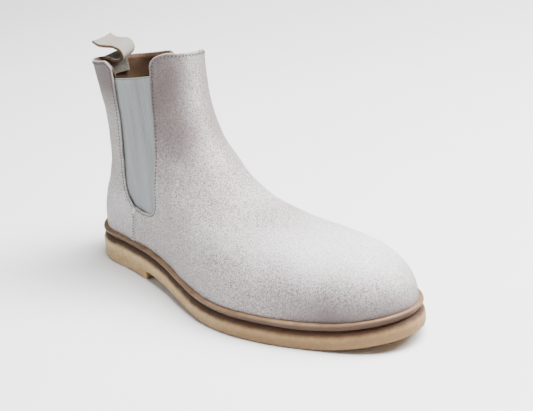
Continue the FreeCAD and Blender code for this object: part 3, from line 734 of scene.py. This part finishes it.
def snapped_grid(last, distance):
    """Grid addresses whose vertices next to the pattern's edge are moved onto it, and their states."""
    level, turn = np.meshgrid(LEVELS, TURNS, indexing="ij")
    found = last.points(level, turn)
    gap = distance(found)
    best = np.full(gap.shape, NO_EDGE)
    move = np.zeros(gap.shape + (2,))
    for axis, stride in ((0, (LEVELS[1] - LEVELS[0], 0.0)), (1, (0.0, TURNS[1] - TURNS[0]))):
        far = np.roll(gap, -1, axis)
        crossing = (gap > 0) != (far > 0)
        if axis == 0:
            crossing[-1] = False
        share = np.abs(gap) / np.maximum(np.abs(gap) + np.abs(far), 1e-9)
        near = crossing & (share <= 0.5) & (share < best)
        best[near] = share[near]
        move[near] = stride
        other = np.roll(np.where(crossing, 1 - share, NO_EDGE), 1, axis)
        near = (other < 0.5) & (other < best)
        best[near] = other[near]
        move[near] = (-stride[0], -stride[1])
    on = best < NO_EDGE
    low, high = np.zeros(on.sum()), np.ones(on.sum())
    base = np.stack([level[on], turn[on]], 1)
    start_inside = gap[on] > 0
    for _ in range(11):
        middle = (low + high) / 2
        address = base + move[on] * middle[:, None]
        same = (distance(last.points(address[:, 0], address[:, 1])) > 0) == start_inside
        low, high = np.where(same, middle, low), np.where(same, high, middle)
    address = base + move[on] * ((low + high) / 2)[:, None]
    level[on], turn[on] = address[:, 0], address[:, 1]
    state = np.where(on, 0, np.where(gap > 0, 1, -1))
    return level, turn, state


def kept_faces(state, level, turn, last, distance):
    """Quads and edge triangles of the grid that lie inside the pattern."""
    rows, columns = state.shape
    index = np.arange(rows * columns).reshape(rows, columns)
    corners = np.stack([index[:-1], np.roll(index, -1, 1)[:-1], np.roll(index, -1, 1)[1:], index[1:]], -1)
    corners = corners.reshape(-1, 4)
    states = state.ravel()[corners]
    out = (states < 0).sum(1)
    inner = (states > 0).sum(1)
    faces = [tuple(face) for face in corners[(out == 0) & (inner > 0)]]
    flat_level, flat_turn = level.ravel(), turn.ravel()

    def centre_inside(face):
        turns = np.unwrap(flat_turn[list(face)])
        centre = last.points(flat_level[list(face)].mean(), turns.mean())
        return distance(centre[None])[0] > 0

    for face in corners[(out == 0) & (inner == 0)]:
        if centre_inside(face):
            faces.append(tuple(face))
    for face, face_state in zip(corners[out == 1], states[out == 1]):
        rest = tuple(int(v) for v, s in zip(face, face_state) if s >= 0)
        if (face_state == 1).any() or centre_inside(rest):
            faces.append(rest)
    return faces


def boundary_loops(faces):
    """Ordered vertex loops round the open edge of a face list, without loops too short to be an edge."""
    edges = {}
    for face in faces:
        for a, b in zip(face, face[1:] + face[:1]):
            if not edges.pop((b, a), False):
                edges[a, b] = True
    following = {}
    for a, b in edges:
        following.setdefault(a, []).append(b)
    loops = []
    while following:
        start = next(iter(following))
        loop = [start]
        while True:
            options = following[loop[-1]]
            step = options.pop()
            if not options:
                del following[loop[-1]]
            if step == start:
                break
            loop.append(step)
        if len(loop) > 12:
            loops.append(loop)
    return loops


def smoothed(values, times):
    """A closed loop of vectors averaged with its neighbours."""
    for _ in range(times):
        values = (np.roll(values, 1, 0) + 2 * values + np.roll(values, -1, 0)) / 4
    return values


def panel_skin(last, distance):
    """Faces, points and normals of the surface inside a pattern."""
    level, turn, state = snapped_grid(last, distance)
    faces = kept_faces(state, level, turn, last, distance)
    used = np.unique(np.concatenate([np.array(face) for face in faces]))
    renumber = {int(old): new for new, old in enumerate(used)}
    faces = [tuple(renumber[int(v)] for v in face) for face in faces]
    level, turn = level.ravel()[used], turn.ravel()[used]
    return faces, last.points(level, turn), last.normals(level, turn)


def turned_edge(thickness, edge_round):
    """Places (out, down) of a panel's rounded edge, from the outer skin to the inner one."""
    places = [(edge_round * sin(a), edge_round * (1 - cos(a))) for a in (0.5, 1.0, pi / 2)]
    inner_round = min(0.35, thickness - edge_round)
    return places + [(edge_round, thickness - inner_round), (edge_round - 0.3, thickness)]


def edge_outward(edge, normal):
    """Directions that lead out of the skin, along its surface, at the points of an edge loop."""
    run = unit(smoothed(np.roll(edge, -1, 0) - np.roll(edge, 1, 0), 2))
    outward = smoothed(unit(np.cross(run, normal)), 3)
    return unit(outward - normal * (outward * normal).sum(1)[:, None])


def panel(name, pattern, rim_line, depth, thickness, edge_round, proud=None, **rest):
    """A leather panel with rounded edges: outer skin, turned edge and inner skin in one closed mesh."""
    def distance(found):
        return inside_distance(pattern, *side_view(found)) - edge_round

    faces, skin, normal = panel_skin(Last(depth), distance)
    rim = open_distance(rim_line, *side_view(skin))
    stand = relief(skin)
    if proud:
        stand = stand + proud(skin, rim)
    skin = skin + normal * stand[:, None]
    low = skin[:, 2] - underside(skin[:, 0]) - FEATHER_LIFT
    # painted light and shade on the suede, partly the nap's own tone
    brushed = shade(skin)
    layers = [(skin, rim, low, np.zeros(len(skin)), brushed)]
    count = len(skin)
    edges = []
    for loop in boundary_loops(faces):
        outward = edge_outward(skin[loop], normal[loop])
        rings = [loop]
        for out, down in turned_edge(thickness, edge_round):
            ring = skin[loop] + outward * out - normal[loop] * down
            layers.append((ring, rim[loop] - out, low[loop], np.full(len(loop), down / thickness),
                           brushed[loop]))
            rings.append(list(range(count, count + len(loop))))
            count += len(loop)
        edges.append(rings)
    layers.append((skin - normal * thickness, rim, low, np.ones(len(skin)), brushed))
    faces += [tuple(v + count for v in face[::-1]) for face in faces]
    for rings in edges:
        rings.append([v + count for v in rings[0]])
        for upper, lower in zip(rings, rings[1:]):
            for k in range(len(upper)):
                after = (k + 1) % len(upper)
                faces.append((upper[k], lower[k], lower[after], upper[after]))
    points, *values = [np.concatenate(column) for column in zip(*layers)]
    attributes = dict(zip(("rim", "low", "cut", "shade"), values))
    return make_piece(name, points, faces, attributes=attributes, **rest)


# ---------------- stitches
def skin_line(line, side, raised=0.0):
    """Points and normals on the upper along a side-view line."""
    last = Last(0.0)
    level, turn = pattern_points(last, line[:, 0], line[:, 1], side)
    found, normal = last.points(level, turn), last.normals(level, turn)
    return found + normal * (relief(found) + raised)[:, None], normal


def bead(start, end, normal, width, height):
    """Vertices and faces of one short stitch lying on the surface."""
    run = end - start
    side = unit(np.cross(run, normal))
    rows = [(0.0, 0.25), (0.12, 0.8), (0.35, 1.0), (0.65, 1.0), (0.88, 0.8), (1.0, 0.25)]   # place, share
    around = 8
    points = []
    for along, share in rows:
        arch = 0.5 * height * (1 - (2 * along - 1) ** 4)
        middle = start + run * along + normal * (arch - 0.12 * height)
        for a in np.linspace(0, 2 * pi, around, endpoint=False):
            out = side * cos(a) * width / 2 * share + normal * sin(a) * height / 2 * share
            points.append(middle + out)
    faces = grid_faces(len(rows), around, closed_columns=True)
    faces.append(tuple(range(around - 1, -1, -1)))
    faces.append(tuple(range(len(points) - around, len(points))))
    return np.array(points), faces


def stitch_row(points, normals, seed):
    """Beads of thread along a line, slightly uneven as sewn."""
    rng = np.random.default_rng(seed)
    along = lengths(points)

    def at(distance, values):
        return np.array([np.interp(distance, along, column) for column in values.T])

    beads = []
    for middle in np.arange(STITCH_PITCH, along[-1] - STITCH_PITCH / 2, STITCH_PITCH):
        slant = rng.normal(0, 0.05)
        start = at(middle - STITCH_LENGTH / 2, points)
        end = at(middle + STITCH_LENGTH / 2, points)
        normal = unit(at(middle, normals))
        side = unit(np.cross(end - start, normal))
        beads.append(bead(start + side * slant, end - side * slant, normal, STITCH_WIDTH, STITCH_HEIGHT))
    return beads


def joined(parts):
    """Several (points, faces) as one."""
    points, faces, count = [], [], 0
    for part_points, part_faces in parts:
        points.append(part_points)
        faces += [tuple(v + count for v in face) for face in part_faces]
        count += len(part_points)
    return np.concatenate(points), faces


# ---------------- pieces of the upper
def back_proud(found, rim=None):
    """The back panel laps over the front one along the side seam and over the elastic's rear edge."""
    near_seam = open_distance(curve_through(SEAM_LINE[::-1], 40), found[:, 0], found[:, 2])
    near_elastic = open_distance(curve_through(GUSSET_REAR, 40), *side_view(found))
    lap = 0.75 * (1 - ease(1.5, 9.0, near_seam)) * (1 - ease(50, 58, found[:, 2]))
    return lap + 0.5 * (1 - ease(0.5, 6.0, near_elastic)) * ease(64, 80, found[:, 2])


def lining_proud(found, rim):
    """The lining turns out to meet the suede along the collar's top."""
    x, z = side_view(found)
    topline = np.where(x > 85, ease(163, 167, z), ease(155.5, 158, z))
    return (LINING_OUT - SUEDE - 0.05) * (1 - ease(0.3, 2.2, rim)) * topline


def bend_with_shaft(piece):
    """Bakes the placement of a back piece into its mesh."""
    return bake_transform(piece)


def build_panels():
    """Suede and lining, in front one piece each on the boot, at the back one piece each."""
    suede = {"depth": 0.0, "thickness": SUEDE, "edge_round": 0.6, "materials": [SUEDE_LOOK], "slot": "suede"}
    lining = {"depth": LINING_OUT, "thickness": LINING_IN - LINING_OUT, "edge_round": 0.35,
              "proud": lining_proud, "materials": [LINING_LOOK], "slot": "lining_leather"}
    rim = np.concatenate([front_edges()[SEAM_COUNT - 1:], [(150, FRONT_TOP)]])
    piece = panel("front_panel", front_pattern(), rim, body="boot", **suede)
    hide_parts("front_upper")
    piece = panel("front_lining_leather", front_pattern(-0.5, 31), rim, body="boot", **lining)
    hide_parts("front_lining")
    piece = panel("back_panel", back_pattern(), back_edges(), proud=back_proud, **suede)
    bend_with_shaft(piece)
    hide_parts("heel_upper", "back_shaft_upper")
    piece = panel("back_lining_leather", back_pattern(-0.5, 41), back_edges(), **lining)
    bend_with_shaft(piece)
    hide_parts("heel_lining", "back_shaft_lining")


def crossing_row(edge, end, height_at, count):
    """Points and normals of a row across the leg's front (end pi) or back (end 0), from the last point of
    its outer edge to the same place on the inner side."""
    last = Last(0.0)
    level, start = pattern_points(last, *edge[-1], -1)
    turns = np.linspace(start, 2 * end - start, count)[1:-1]
    level = np.full_like(turns, level)
    for _ in range(30):
        x, z = side_view(last.points(level, turns))
        level = level + height_at(x) - z
    found, normals = last.points(level, turns), last.normals(level, turns)
    return found + normals * relief(found)[:, None], normals


def sewn_row(name, edge, crossing, seed, lap=None):
    """One row of thread up the outer side, across the leg and down the inner side."""
    rows = [skin_line(edge, -1), crossing, skin_line(edge[::-1], 1)]
    points, normals = [np.concatenate(column) for column in zip(*rows)]
    if lap:
        points = points + normals * lap(points)[:, None]
    return make_piece(name, *joined(stitch_row(points, normals, seed)), [THREAD_LOOK])


def build_stitches():
    """Rows of thread along the elastic's edges, the toplines and the side seams, and two bartacks."""
    edge = shifted(front_edges()[SEAM_COUNT - 1:], -STITCH_INSET)
    edge = edge[edge[:, 0] < FRONT_SHOULDER - 1]
    crossing = crossing_row(edge, pi, lambda x: FRONT_TOP - STITCH_INSET, 80)
    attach(sewn_row("front_stitches", edge, crossing, 5), "boot")

    edge = shifted(back_edges(), STITCH_INSET)
    top = edge[(edge[:, 0] < 45) & (edge[:, 1] > 120)][::-1]
    edge = edge[(edge[:, 0] > 27) | (edge[:, 1] < 120)]
    edge = edge[edge[:, 1] > underside(edge[:, 0]) + FEATHER_LIFT]
    crossing = crossing_row(edge, 0, lambda x: np.interp(x, *top.T), 40)
    bend_with_shaft(sewn_row("back_stitches", edge, crossing, 15, back_proud))

    for side, name in ((-1, "bartack_outer"), (1, "bartack_inner")):
        make_piece(name, *joined(bartack_at(side)), [PALE_THREAD_LOOK], body="boot")


def bartack_at(side):
    """Close zigzag that locks the seam's upper end."""
    beads = []
    for k in range(9):
        z = SEAM_TOP[1] - 0.9 - BARTACK_DROP * k
        lean = 0.5 if k % 2 else -0.1
        rear, front = (x - BARTACK_DRIFT * k for x in BARTACK_ENDS)
        points, normals = skin_line(np.array([(rear, z - lean), (front, z + lean)]), side, raised=0.85)
        beads.append(bead(*points, unit(normals.mean(0)), BARTACK_THREAD, BARTACK_THREAD))
    return beads


# ---------------- elastics
def elastic_grid(last, side):
    """Addresses of the elastic's grid, its shares across from rear to front, its distances to the top."""
    rows, columns = 150, 260
    up = np.linspace(0, 1, rows)[:, None]
    across_share = np.linspace(0, 1, columns)[None, :]
    hem = np.interp(across_share, *ELASTIC_HEM)
    rear_top, front_top = ELASTIC_TOP
    top = rear_top + (front_top - rear_top) * across_share - (side > 0) * ELASTIC_WIDTH * COLLAR_FALL
    z = hem + (top - hem) * up
    rear = smooth([(height, x) for x, height in GUSSET_REAR[::-1]], z) - ELASTIC_OVERLAP
    front = smooth([(height, x) for x, height in GUSSET_FRONT], z) + ELASTIC_OVERLAP
    return last.address(rear + (front - rear) * across_share, z, side), across_share, top - z


def elastic_lift(skin, across_mm, to_top):
    """How far the elastic's face stands out: cords, the turned band at the top and a light ruffle."""
    cords = 0.13 * np.abs(np.sin(pi * across_mm / CORD_PITCH)) * ease(2.6, 3.4, to_top)
    band = 0.22 * (1 - ease(2.8, 3.5, to_top))
    ruffle = 0.22 * lumps(skin * [1, 1, 0.25], 9.0, 7) * ease(2, 12, to_top)
    turned = -0.35 * (1 - ease(0.0, 0.7, to_top))
    sunk = -0.5 * (1 - ease(8.0, 14.0, across_mm))
    return cords + band + ruffle + turned + sunk


def thick_faces(rows, columns, flip):
    """Faces of a closed sheet: a grid of outer points, the same grid of inner points and the edge."""
    size = rows * columns
    faces = grid_faces(rows, columns, flip=flip)
    faces += [tuple(v + size for v in face[::-1]) for face in faces]
    index = np.arange(size).reshape(rows, columns)
    ring = [*index[0], *index[1:, -1], *index[-1, -2::-1], *index[-2:0:-1, 0]]
    for a, b in zip(ring, ring[1:] + ring[:1]):
        face = (a, a + size, b + size, b)
        faces.append(face[::-1] if flip else face)
    return faces


def build_gussets():
    """Ribbed elastic panels that reach under the suede's edges."""
    last = Last(MIDDLE_OUT)
    for side, node in ((-1, "outer_gusset"), (1, "inner_gusset")):
        address, across_share, to_top = elastic_grid(last, side)
        across_mm = across_share * ELASTIC_WIDTH
        skin, normal = last.points(*address), last.normals(*address)
        outer = skin + normal * elastic_lift(skin, across_mm, to_top)[..., None]
        inner = skin - normal * (MIDDLE_IN - MIDDLE_OUT - 0.05)
        points = np.concatenate([outer.reshape(-1, 3), inner.reshape(-1, 3)])
        ribs = np.broadcast_to(across_mm / CORD_PITCH, to_top.shape)
        attributes = {"rib": np.tile(ribs.ravel(), 2), "band": np.tile(to_top.ravel(), 2)}
        piece = make_piece(node + "_elastic", points, thick_faces(*to_top.shape, flip=side > 0),
                           [ELASTIC_LOOK], slot="elastic", attributes=attributes)
        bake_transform(piece)
        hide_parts(node)


# ---------------- pull strap
TAB_BED = Last(LINING_IN + 0.15 + TAB_THICK / 2)
STRAP_COUNT, FREE_FROM, DISHED_FROM = 110, 60, 76       # sections along the strap
STRAP_TIP = {2: 0.93, 1: 0.75}                          # share of the thickness at the last two


def strap_line():
    """The strap's middle in the side view: sewn up the lining, over the collar and along its S."""
    root = [(smooth(TAB_BED.back, z), z) for z in np.linspace(*TAB_ROOT, 8)]
    join = [(root[-1][0] + 0.6, 156.6), (30.8, 158.2)]
    return curve_through(root + join + TAB_LINE, STRAP_COUNT)


def strap_section():
    """Cross-section (across, thick, 1 on the raw edge): two layers with a groove between at each edge."""
    half, thick, corner = TAB_WIDTH / 2, TAB_THICK / 2, 0.55
    flat = half - corner
    upper = [(flat + corner * sin(a), thick - corner + corner * cos(a), 1) for a in (0.5, 1.1)]
    groove = [(half, 0.35, 1), (half - 0.25, 0.0, 1), (half, -0.35, 1)]
    lower = [(v, -height, 1) for v, height, _ in upper[::-1]]
    one_half = [(v, thick, 0) for v in np.linspace(-flat, flat, 17)] + upper + groove + lower
    return np.array(one_half + [(-v, -height, raw) for v, height, raw in one_half])


def strap_points(line, section):
    """The section carried along the line: its root follows the leg, its free part is turned, dished and
    pulled back at one edge."""
    run = unit(np.gradient(line, axis=0))
    upward = np.stack([-run[:, 1], run[:, 0]], 1)
    hinge_x = TAB_LINE[0][0]
    points = []
    for k, ((x, z), up) in enumerate(zip(line, upward)):
        free = float(ease(*TAB_RISE, z)) if k < FREE_FROM else 1.0
        thinned = STRAP_TIP.get(STRAP_COUNT - k, 1.0)
        dish = 1.0 if k >= DISHED_FROM else 0.3
        angle = TAB_TURN * free
        for v, thick, _ in section:
            thick = thick * thinned
            share = v / (TAB_WIDTH / 2)
            px, py, pz = x + up[0] * thick, TAB_CENTRE + v, z + up[1] * thick
            pz += 0.9 * free * (share ** 2 - 0.4) * dish
            dx, dy = px - hinge_x, py - TAB_CENTRE
            turned_x = hinge_x + dx * cos(angle) - dy * sin(angle)
            turned_y = TAB_CENTRE + dx * sin(angle) + dy * cos(angle)
            low_z = min(pz, TAB_BED_TOP)
            bent = bed_x(py, low_z) - smooth(TAB_BED.back, low_z)
            pulled = TAB_PULL * ease(34, 50, x) * (share + 1) / 2
            points.append((turned_x + bent * (1 - free) - pulled, turned_y, pz))
    return np.array(points)


def bed_x(y, z):
    """x of the strap's bed, the surface along the lining's back, at a given y and height."""
    xs = np.linspace(smooth(TAB_BED.back, z) + 0.01, smooth(TAB_BED.back, z) + 22, 60)
    off = TAB_BED.half(xs, np.full_like(xs, z))
    return float(np.interp(abs(y - TAB_BED.centre(xs[0], z)), off, xs))


def build_strap():
    """One doubled strap, sewn inside the back lining and curling up over the collar."""
    section = strap_section()
    size = len(section)
    points = strap_points(strap_line(), section)
    faces = grid_faces(STRAP_COUNT, size, closed_columns=True, flip=True)
    raw = section[:, 2].astype(int)
    slots = np.tile(raw | np.roll(raw, -1), STRAP_COUNT - 1)
    faces += [tuple(range(size)), tuple(range(len(points) - 1, len(points) - size - 1, -1))]
    rim = TAB_WIDTH / 2 - np.abs(np.tile(section[:, 0], STRAP_COUNT))
    level = np.ones(len(rim))
    attributes = {"rim": rim + 0.4, "low": 90.0 * level, "cut": 0.0 * level, "shade": 0.3 * level}
    strap = make_piece("pull_strap", points, faces, [STRAP_LOOK, STRAP_EDGE_LOOK], slot="tab_leather",
                       attributes=attributes, face_slots=[*slots, 1, 1])
    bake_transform(strap)
    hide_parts("pull_tab", "pull_tab_root")


# ---------------- sole
BLOCK_JOIN = 4.0                # over the heel block, layers aren't rounded in below this lift


def crepe_painted_shade(points):
    """Painted shade on the crepe, 0 to 1: more under the forefoot and low on the side."""
    low = 1 - ease(1, 8, points[..., 2] - underside(points[..., 0]))
    return 0.85 * ease(60, 240, points[..., 0]) + 0.3 * low


def ring_slab(name, profile, material, slot, node, turns=900, rough=0.0, hole=None, seed=1):
    """A sole layer from rings (inset, lift, tint), bottom to top; both faces are closed, or they run in
    to an opening that lies hole inside the edge."""
    angle = np.linspace(0, 2 * pi, turns, endpoint=False)
    on_block = 1 - ease(HEEL_BREAST - 1, HEEL_BREAST + 4, outline(0.0, angle)[0])

    def ring(inset, lift, share=1.0):
        inset = inset * (1 - on_block * (lift < BLOCK_JOIN))
        x, y = outline(inset, angle)
        middle = smooth(SOLE_CENTRE, x)
        return np.stack([x, middle + (y - middle) * share, underside(x) + lift], 1)

    (low_inset, low, low_tint), (high_inset, high, high_tint) = profile[0], profile[-1]
    sides = [ring(inset, lift) for inset, lift, _ in profile]
    tints = [tint for _, _, tint in profile]
    if hole is None:
        core = (0.93, 0.75, 0.5, 0.25, 0.0)
        points = np.array([ring(low_inset, low, share) for share in core[::-1]] + sides
                          + [ring(high_inset, high, share) for share in core])
        tints = [low_tint] * len(core) + tints + [high_tint] * len(core)
        start = len(core)
    else:
        points = np.array(sides + [ring((high_inset + hole) / 2, high), ring(hole, high), ring(hole, low),
                                   ring((low_inset + hole) / 2, low)])
        tints += [high_tint] * 2 + [low_tint] * 2
        start = 0
    if rough:
        run = unit(np.roll(points, -1, 1) - np.roll(points, 1, 1))
        outward = np.stack([run[..., 1], -run[..., 0], np.zeros(run.shape[:2])], -1)
        bumps = rough * (lumps(points * [1, 1, 0.5], 5.0, seed) + 0.6 * lumps(points, 2.2, seed + 1))
        bumps[:start], bumps[start + len(profile):] = 0, 0
        points = points + outward * bumps[..., None]
    faces = grid_faces(len(points), turns, closed_rows=hole is not None, closed_columns=True)
    piece = make_piece(name, points.reshape(-1, 3), faces, [material], body="boot", slot=slot,
                       attributes={"tint": np.repeat(tints, turns), "painted_shade": crepe_painted_shade(points).ravel()})
    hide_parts(node)


def side_profile(shape, count):
    """Rings (inset, lift, tint) through a few (lift, inset, tint) of a layer's side."""
    places = np.array(shape, float)
    line = curve_through([(lift, inset) for lift, inset, _ in shape], count)
    share = np.linspace(0, 1, count)
    along = lengths(places[:, :2])
    tints = np.interp(share * along[-1], along, places[:, 2])
    return [(inset, lift, tint) for (lift, inset), tint in zip(line, tints)]


def build_sole():
    """Crepe outsole, dark midsole in a groove, and the rounded welt.  Tint 0 is bare, 1 is edge stain with
    painted shade.
    """
    # the tint darkens the crepe's top under the welt: edge stain and painted shade
    crepe = [(0.0, 1.5, 0), (0.45, 0.55, 0), (1.6, 0.12, 0), (4.5, 0.0, 0), (7.0, 0.1, 0.15),
             (8.6, 0.35, 0.5), (10.2, 1.0, 0.85), (11.3, 1.9, 1), (12.2, 3.0, 1), (CREPE, 4.2, 1)]
    ring_slab("crepe_outsole", side_profile(crepe, 26), CREPE_LOOK, "crepe", "outsole", rough=0.11,
              seed=61)
    mid = CREPE + MIDSOLE
    groove = [(CREPE, 3.6, 1), (CREPE + 0.5, 3.1, 1), (CREPE + 1.2, 3.2, 1), (mid, 2.9, 1)]
    ring_slab("dark_midsole", side_profile(groove, 7), MIDSOLE_LOOK, "midsole_edge", "midsole", turns=600)
    # the tint darkens the welt towards its underside and leaves its top lighter: edge stain and painted
    # shade
    edge = [(mid, 2.8, 1.0), (mid + 0.25, 1.6, 0.95), (mid + 0.8, 1.0, 0.9), (mid + 1.6, 0.82, 0.65),
            (mid + 2.4, 0.9, 0.35), (mid + 2.95, 1.35, 0.12), (FEATHER_LIFT, 2.2, 0.1)]
    ring_slab("tan_welt", side_profile(edge, 16), WELT_LOOK, "welt", "welt", turns=720, hole=14.0,
              rough=0.06, seed=71)


def build_heel_block():
    """Crepe block under the heel with a square breast."""
    breast_turn = float(np.arccos(1 - HEEL_BREAST / (LENGTH / 2)))
    x, y = outline(0.0, np.linspace(-breast_turn, breast_turn, 301) % (2 * pi))
    around = np.stack([x, y], 1)
    breast = np.stack([np.full(40, HEEL_BREAST), np.linspace(y[-1], y[0], 42)[1:-1]], 1)
    loop = even(np.concatenate([around, breast, around[:1]]), 421)[:-1]
    run = unit(smoothed(unit(np.roll(loop, -1, 0) - np.roll(loop, 1, 0)), 3))
    outward = np.stack([run[:, 1], -run[:, 0]], 1)
    centre = loop.mean(0)
    loop = smoothed(loop, 2)
    size = len(loop)

    def at_height(places, height):
        return np.column_stack([places, np.full(size, height)])

    shares = (0.02, 0.3, 0.6, 0.9)
    covers = [centre + (loop - centre) * share for share in shares]
    side = side_profile([(0.0, 1.3, 0), (0.4, 0.45, 0), (1.4, 0.1, 0), (3.5, 0.0, 0),
                         (HEEL_HEIGHT - 0.5, 0.0, 0), (HEEL_HEIGHT, 0.0, 0)], 12)
    points = np.array([at_height(cover, 0.0) for cover in covers]
                      + [at_height(loop - outward * inset, lift) for inset, lift, _ in side]
                      + [at_height(cover, HEEL_HEIGHT) for cover in covers[::-1]])
    bumps = 0.11 * lumps(points, 4.0, 81)
    bumps[:len(shares)], bumps[-len(shares):] = 0, 0
    points[..., :2] += outward[None] * bumps[..., None]
    faces = grid_faces(len(points), size, closed_columns=True)
    total = len(points) * size
    faces += [tuple(range(size - 1, -1, -1)), tuple(range(total - size, total))]
    piece = make_piece("crepe_heel_block", points.reshape(-1, 3), faces, [CREPE_LOOK], body="boot",
                       slot="crepe", attributes={"tint": np.zeros(total), "painted_shade": crepe_painted_shade(points).ravel()})
    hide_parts("heel_block")


def build_sock():
    """Leather sock over the insole, softly dished under the foot."""
    inset = WELT_LEDGE + LINING_IN + 0.9
    lift = FEATHER_LIFT + LINING_IN + 2.8
    profile = side_profile([(lift, inset + 0.5, 0), (lift + 0.5, inset, 0), (lift + 1.0, inset + 0.1, 0),
                            (lift + 1.2, inset + 0.7, 0)], 7)
    ring_slab("sock_leather", profile, SOCK_LOOK, "lining_leather", "sock_liner", turns=420)


# ---------------- camera, floor and lights
def build_camera():
    """Three-quarter view from the front of the outer side."""
    azimuth, elevation, roll = radians(48.257), radians(22.723), radians(-5.647)
    distance, sensor, lens = 0.997885, 36.0, 97.545
    target = Vector(place(167.234, 7.218, 66.493))
    back = Vector((sin(azimuth) * cos(elevation), -cos(azimuth) * cos(elevation), sin(elevation)))
    data = bpy.data.cameras.new("camera")
    data.sensor_width, data.lens = sensor, lens
    data.clip_start, data.clip_end = 0.02, 30
    camera = bpy.data.objects.new("camera", data)
    bpy.context.scene.collection.objects.link(camera)
    right = (-back).cross(Vector((0, 0, 1))).normalized()
    up = right.cross(-back)
    turned_right = right * cos(roll) + up * sin(roll)
    turned_up = up * cos(roll) - right * sin(roll)
    axes = Matrix((turned_right, turned_up, back)).transposed()
    camera.matrix_world = Matrix.Translation(target + back * distance) @ axes.to_4x4()
    bpy.context.scene.camera = camera


def floor_material():
    """Matt white paper."""
    n = Nodes("pale_floor")
    cloud = n.noise(3, 3, 0.5)
    n.bump((n.noise(120, 3, 0.6), 0.05, 0.5))
    return n.finish(n.ramp(cloud, (0.3, (0.80, 0.80, 0.80)), (0.7, (0.83, 0.83, 0.83))),
                    n.ramp(cloud, (0.3, 0.65), (0.7, 0.75)), Specular_IOR_Level=0.2)


def build_stage():
    """Floor and a dim world."""
    bpy.ops.mesh.primitive_plane_add(size=60, location=(0, 0, -0.0002))
    floor = bpy.context.object
    floor.name = "floor"
    floor.data.materials.append(floor_material())
    world = bpy.data.worlds.new("studio")
    bpy.context.scene.world = world
    world.use_nodes = True
    background = world.node_tree.nodes["Background"]
    background.inputs[0].default_value = (0.97, 0.98, 1.0, 1)
    background.inputs[1].default_value = 0.22


def area_light(name, position, aim, size, power):
    """A round lamp that faces aim."""
    data = bpy.data.lights.new(name, "AREA")
    data.shape, data.size, data.energy = "DISK", size, power
    light = bpy.data.objects.new(name, data)
    bpy.context.scene.collection.objects.link(light)
    light.location = position
    light.rotation_mode = "QUATERNION"
    light.rotation_quaternion = (Vector(aim) - Vector(position)).to_track_quat("-Z", "Y")


def build_lights():
    """A key light in front on the inner side, one from above and a weak fill behind the outer side."""
    aim = (0.02, 0.0, 0.07)
    area_light("key", (0.75, 0.85, 1.25), aim, 1.0, 62)
    area_light("top", (0.35, 0.2, 1.5), (0.10, 0.0, 0.05), 1.0, 92)
    area_light("fill", (-1.2, -1.3, 0.7), aim, 1.2, 11)


# ---------------- the boot
build_camera()
paint_hidden_nodes()
build_panels()
build_stitches()
build_gussets()
build_strap()
build_sole()
build_heel_block()
build_sock()
build_stage()
build_lights()
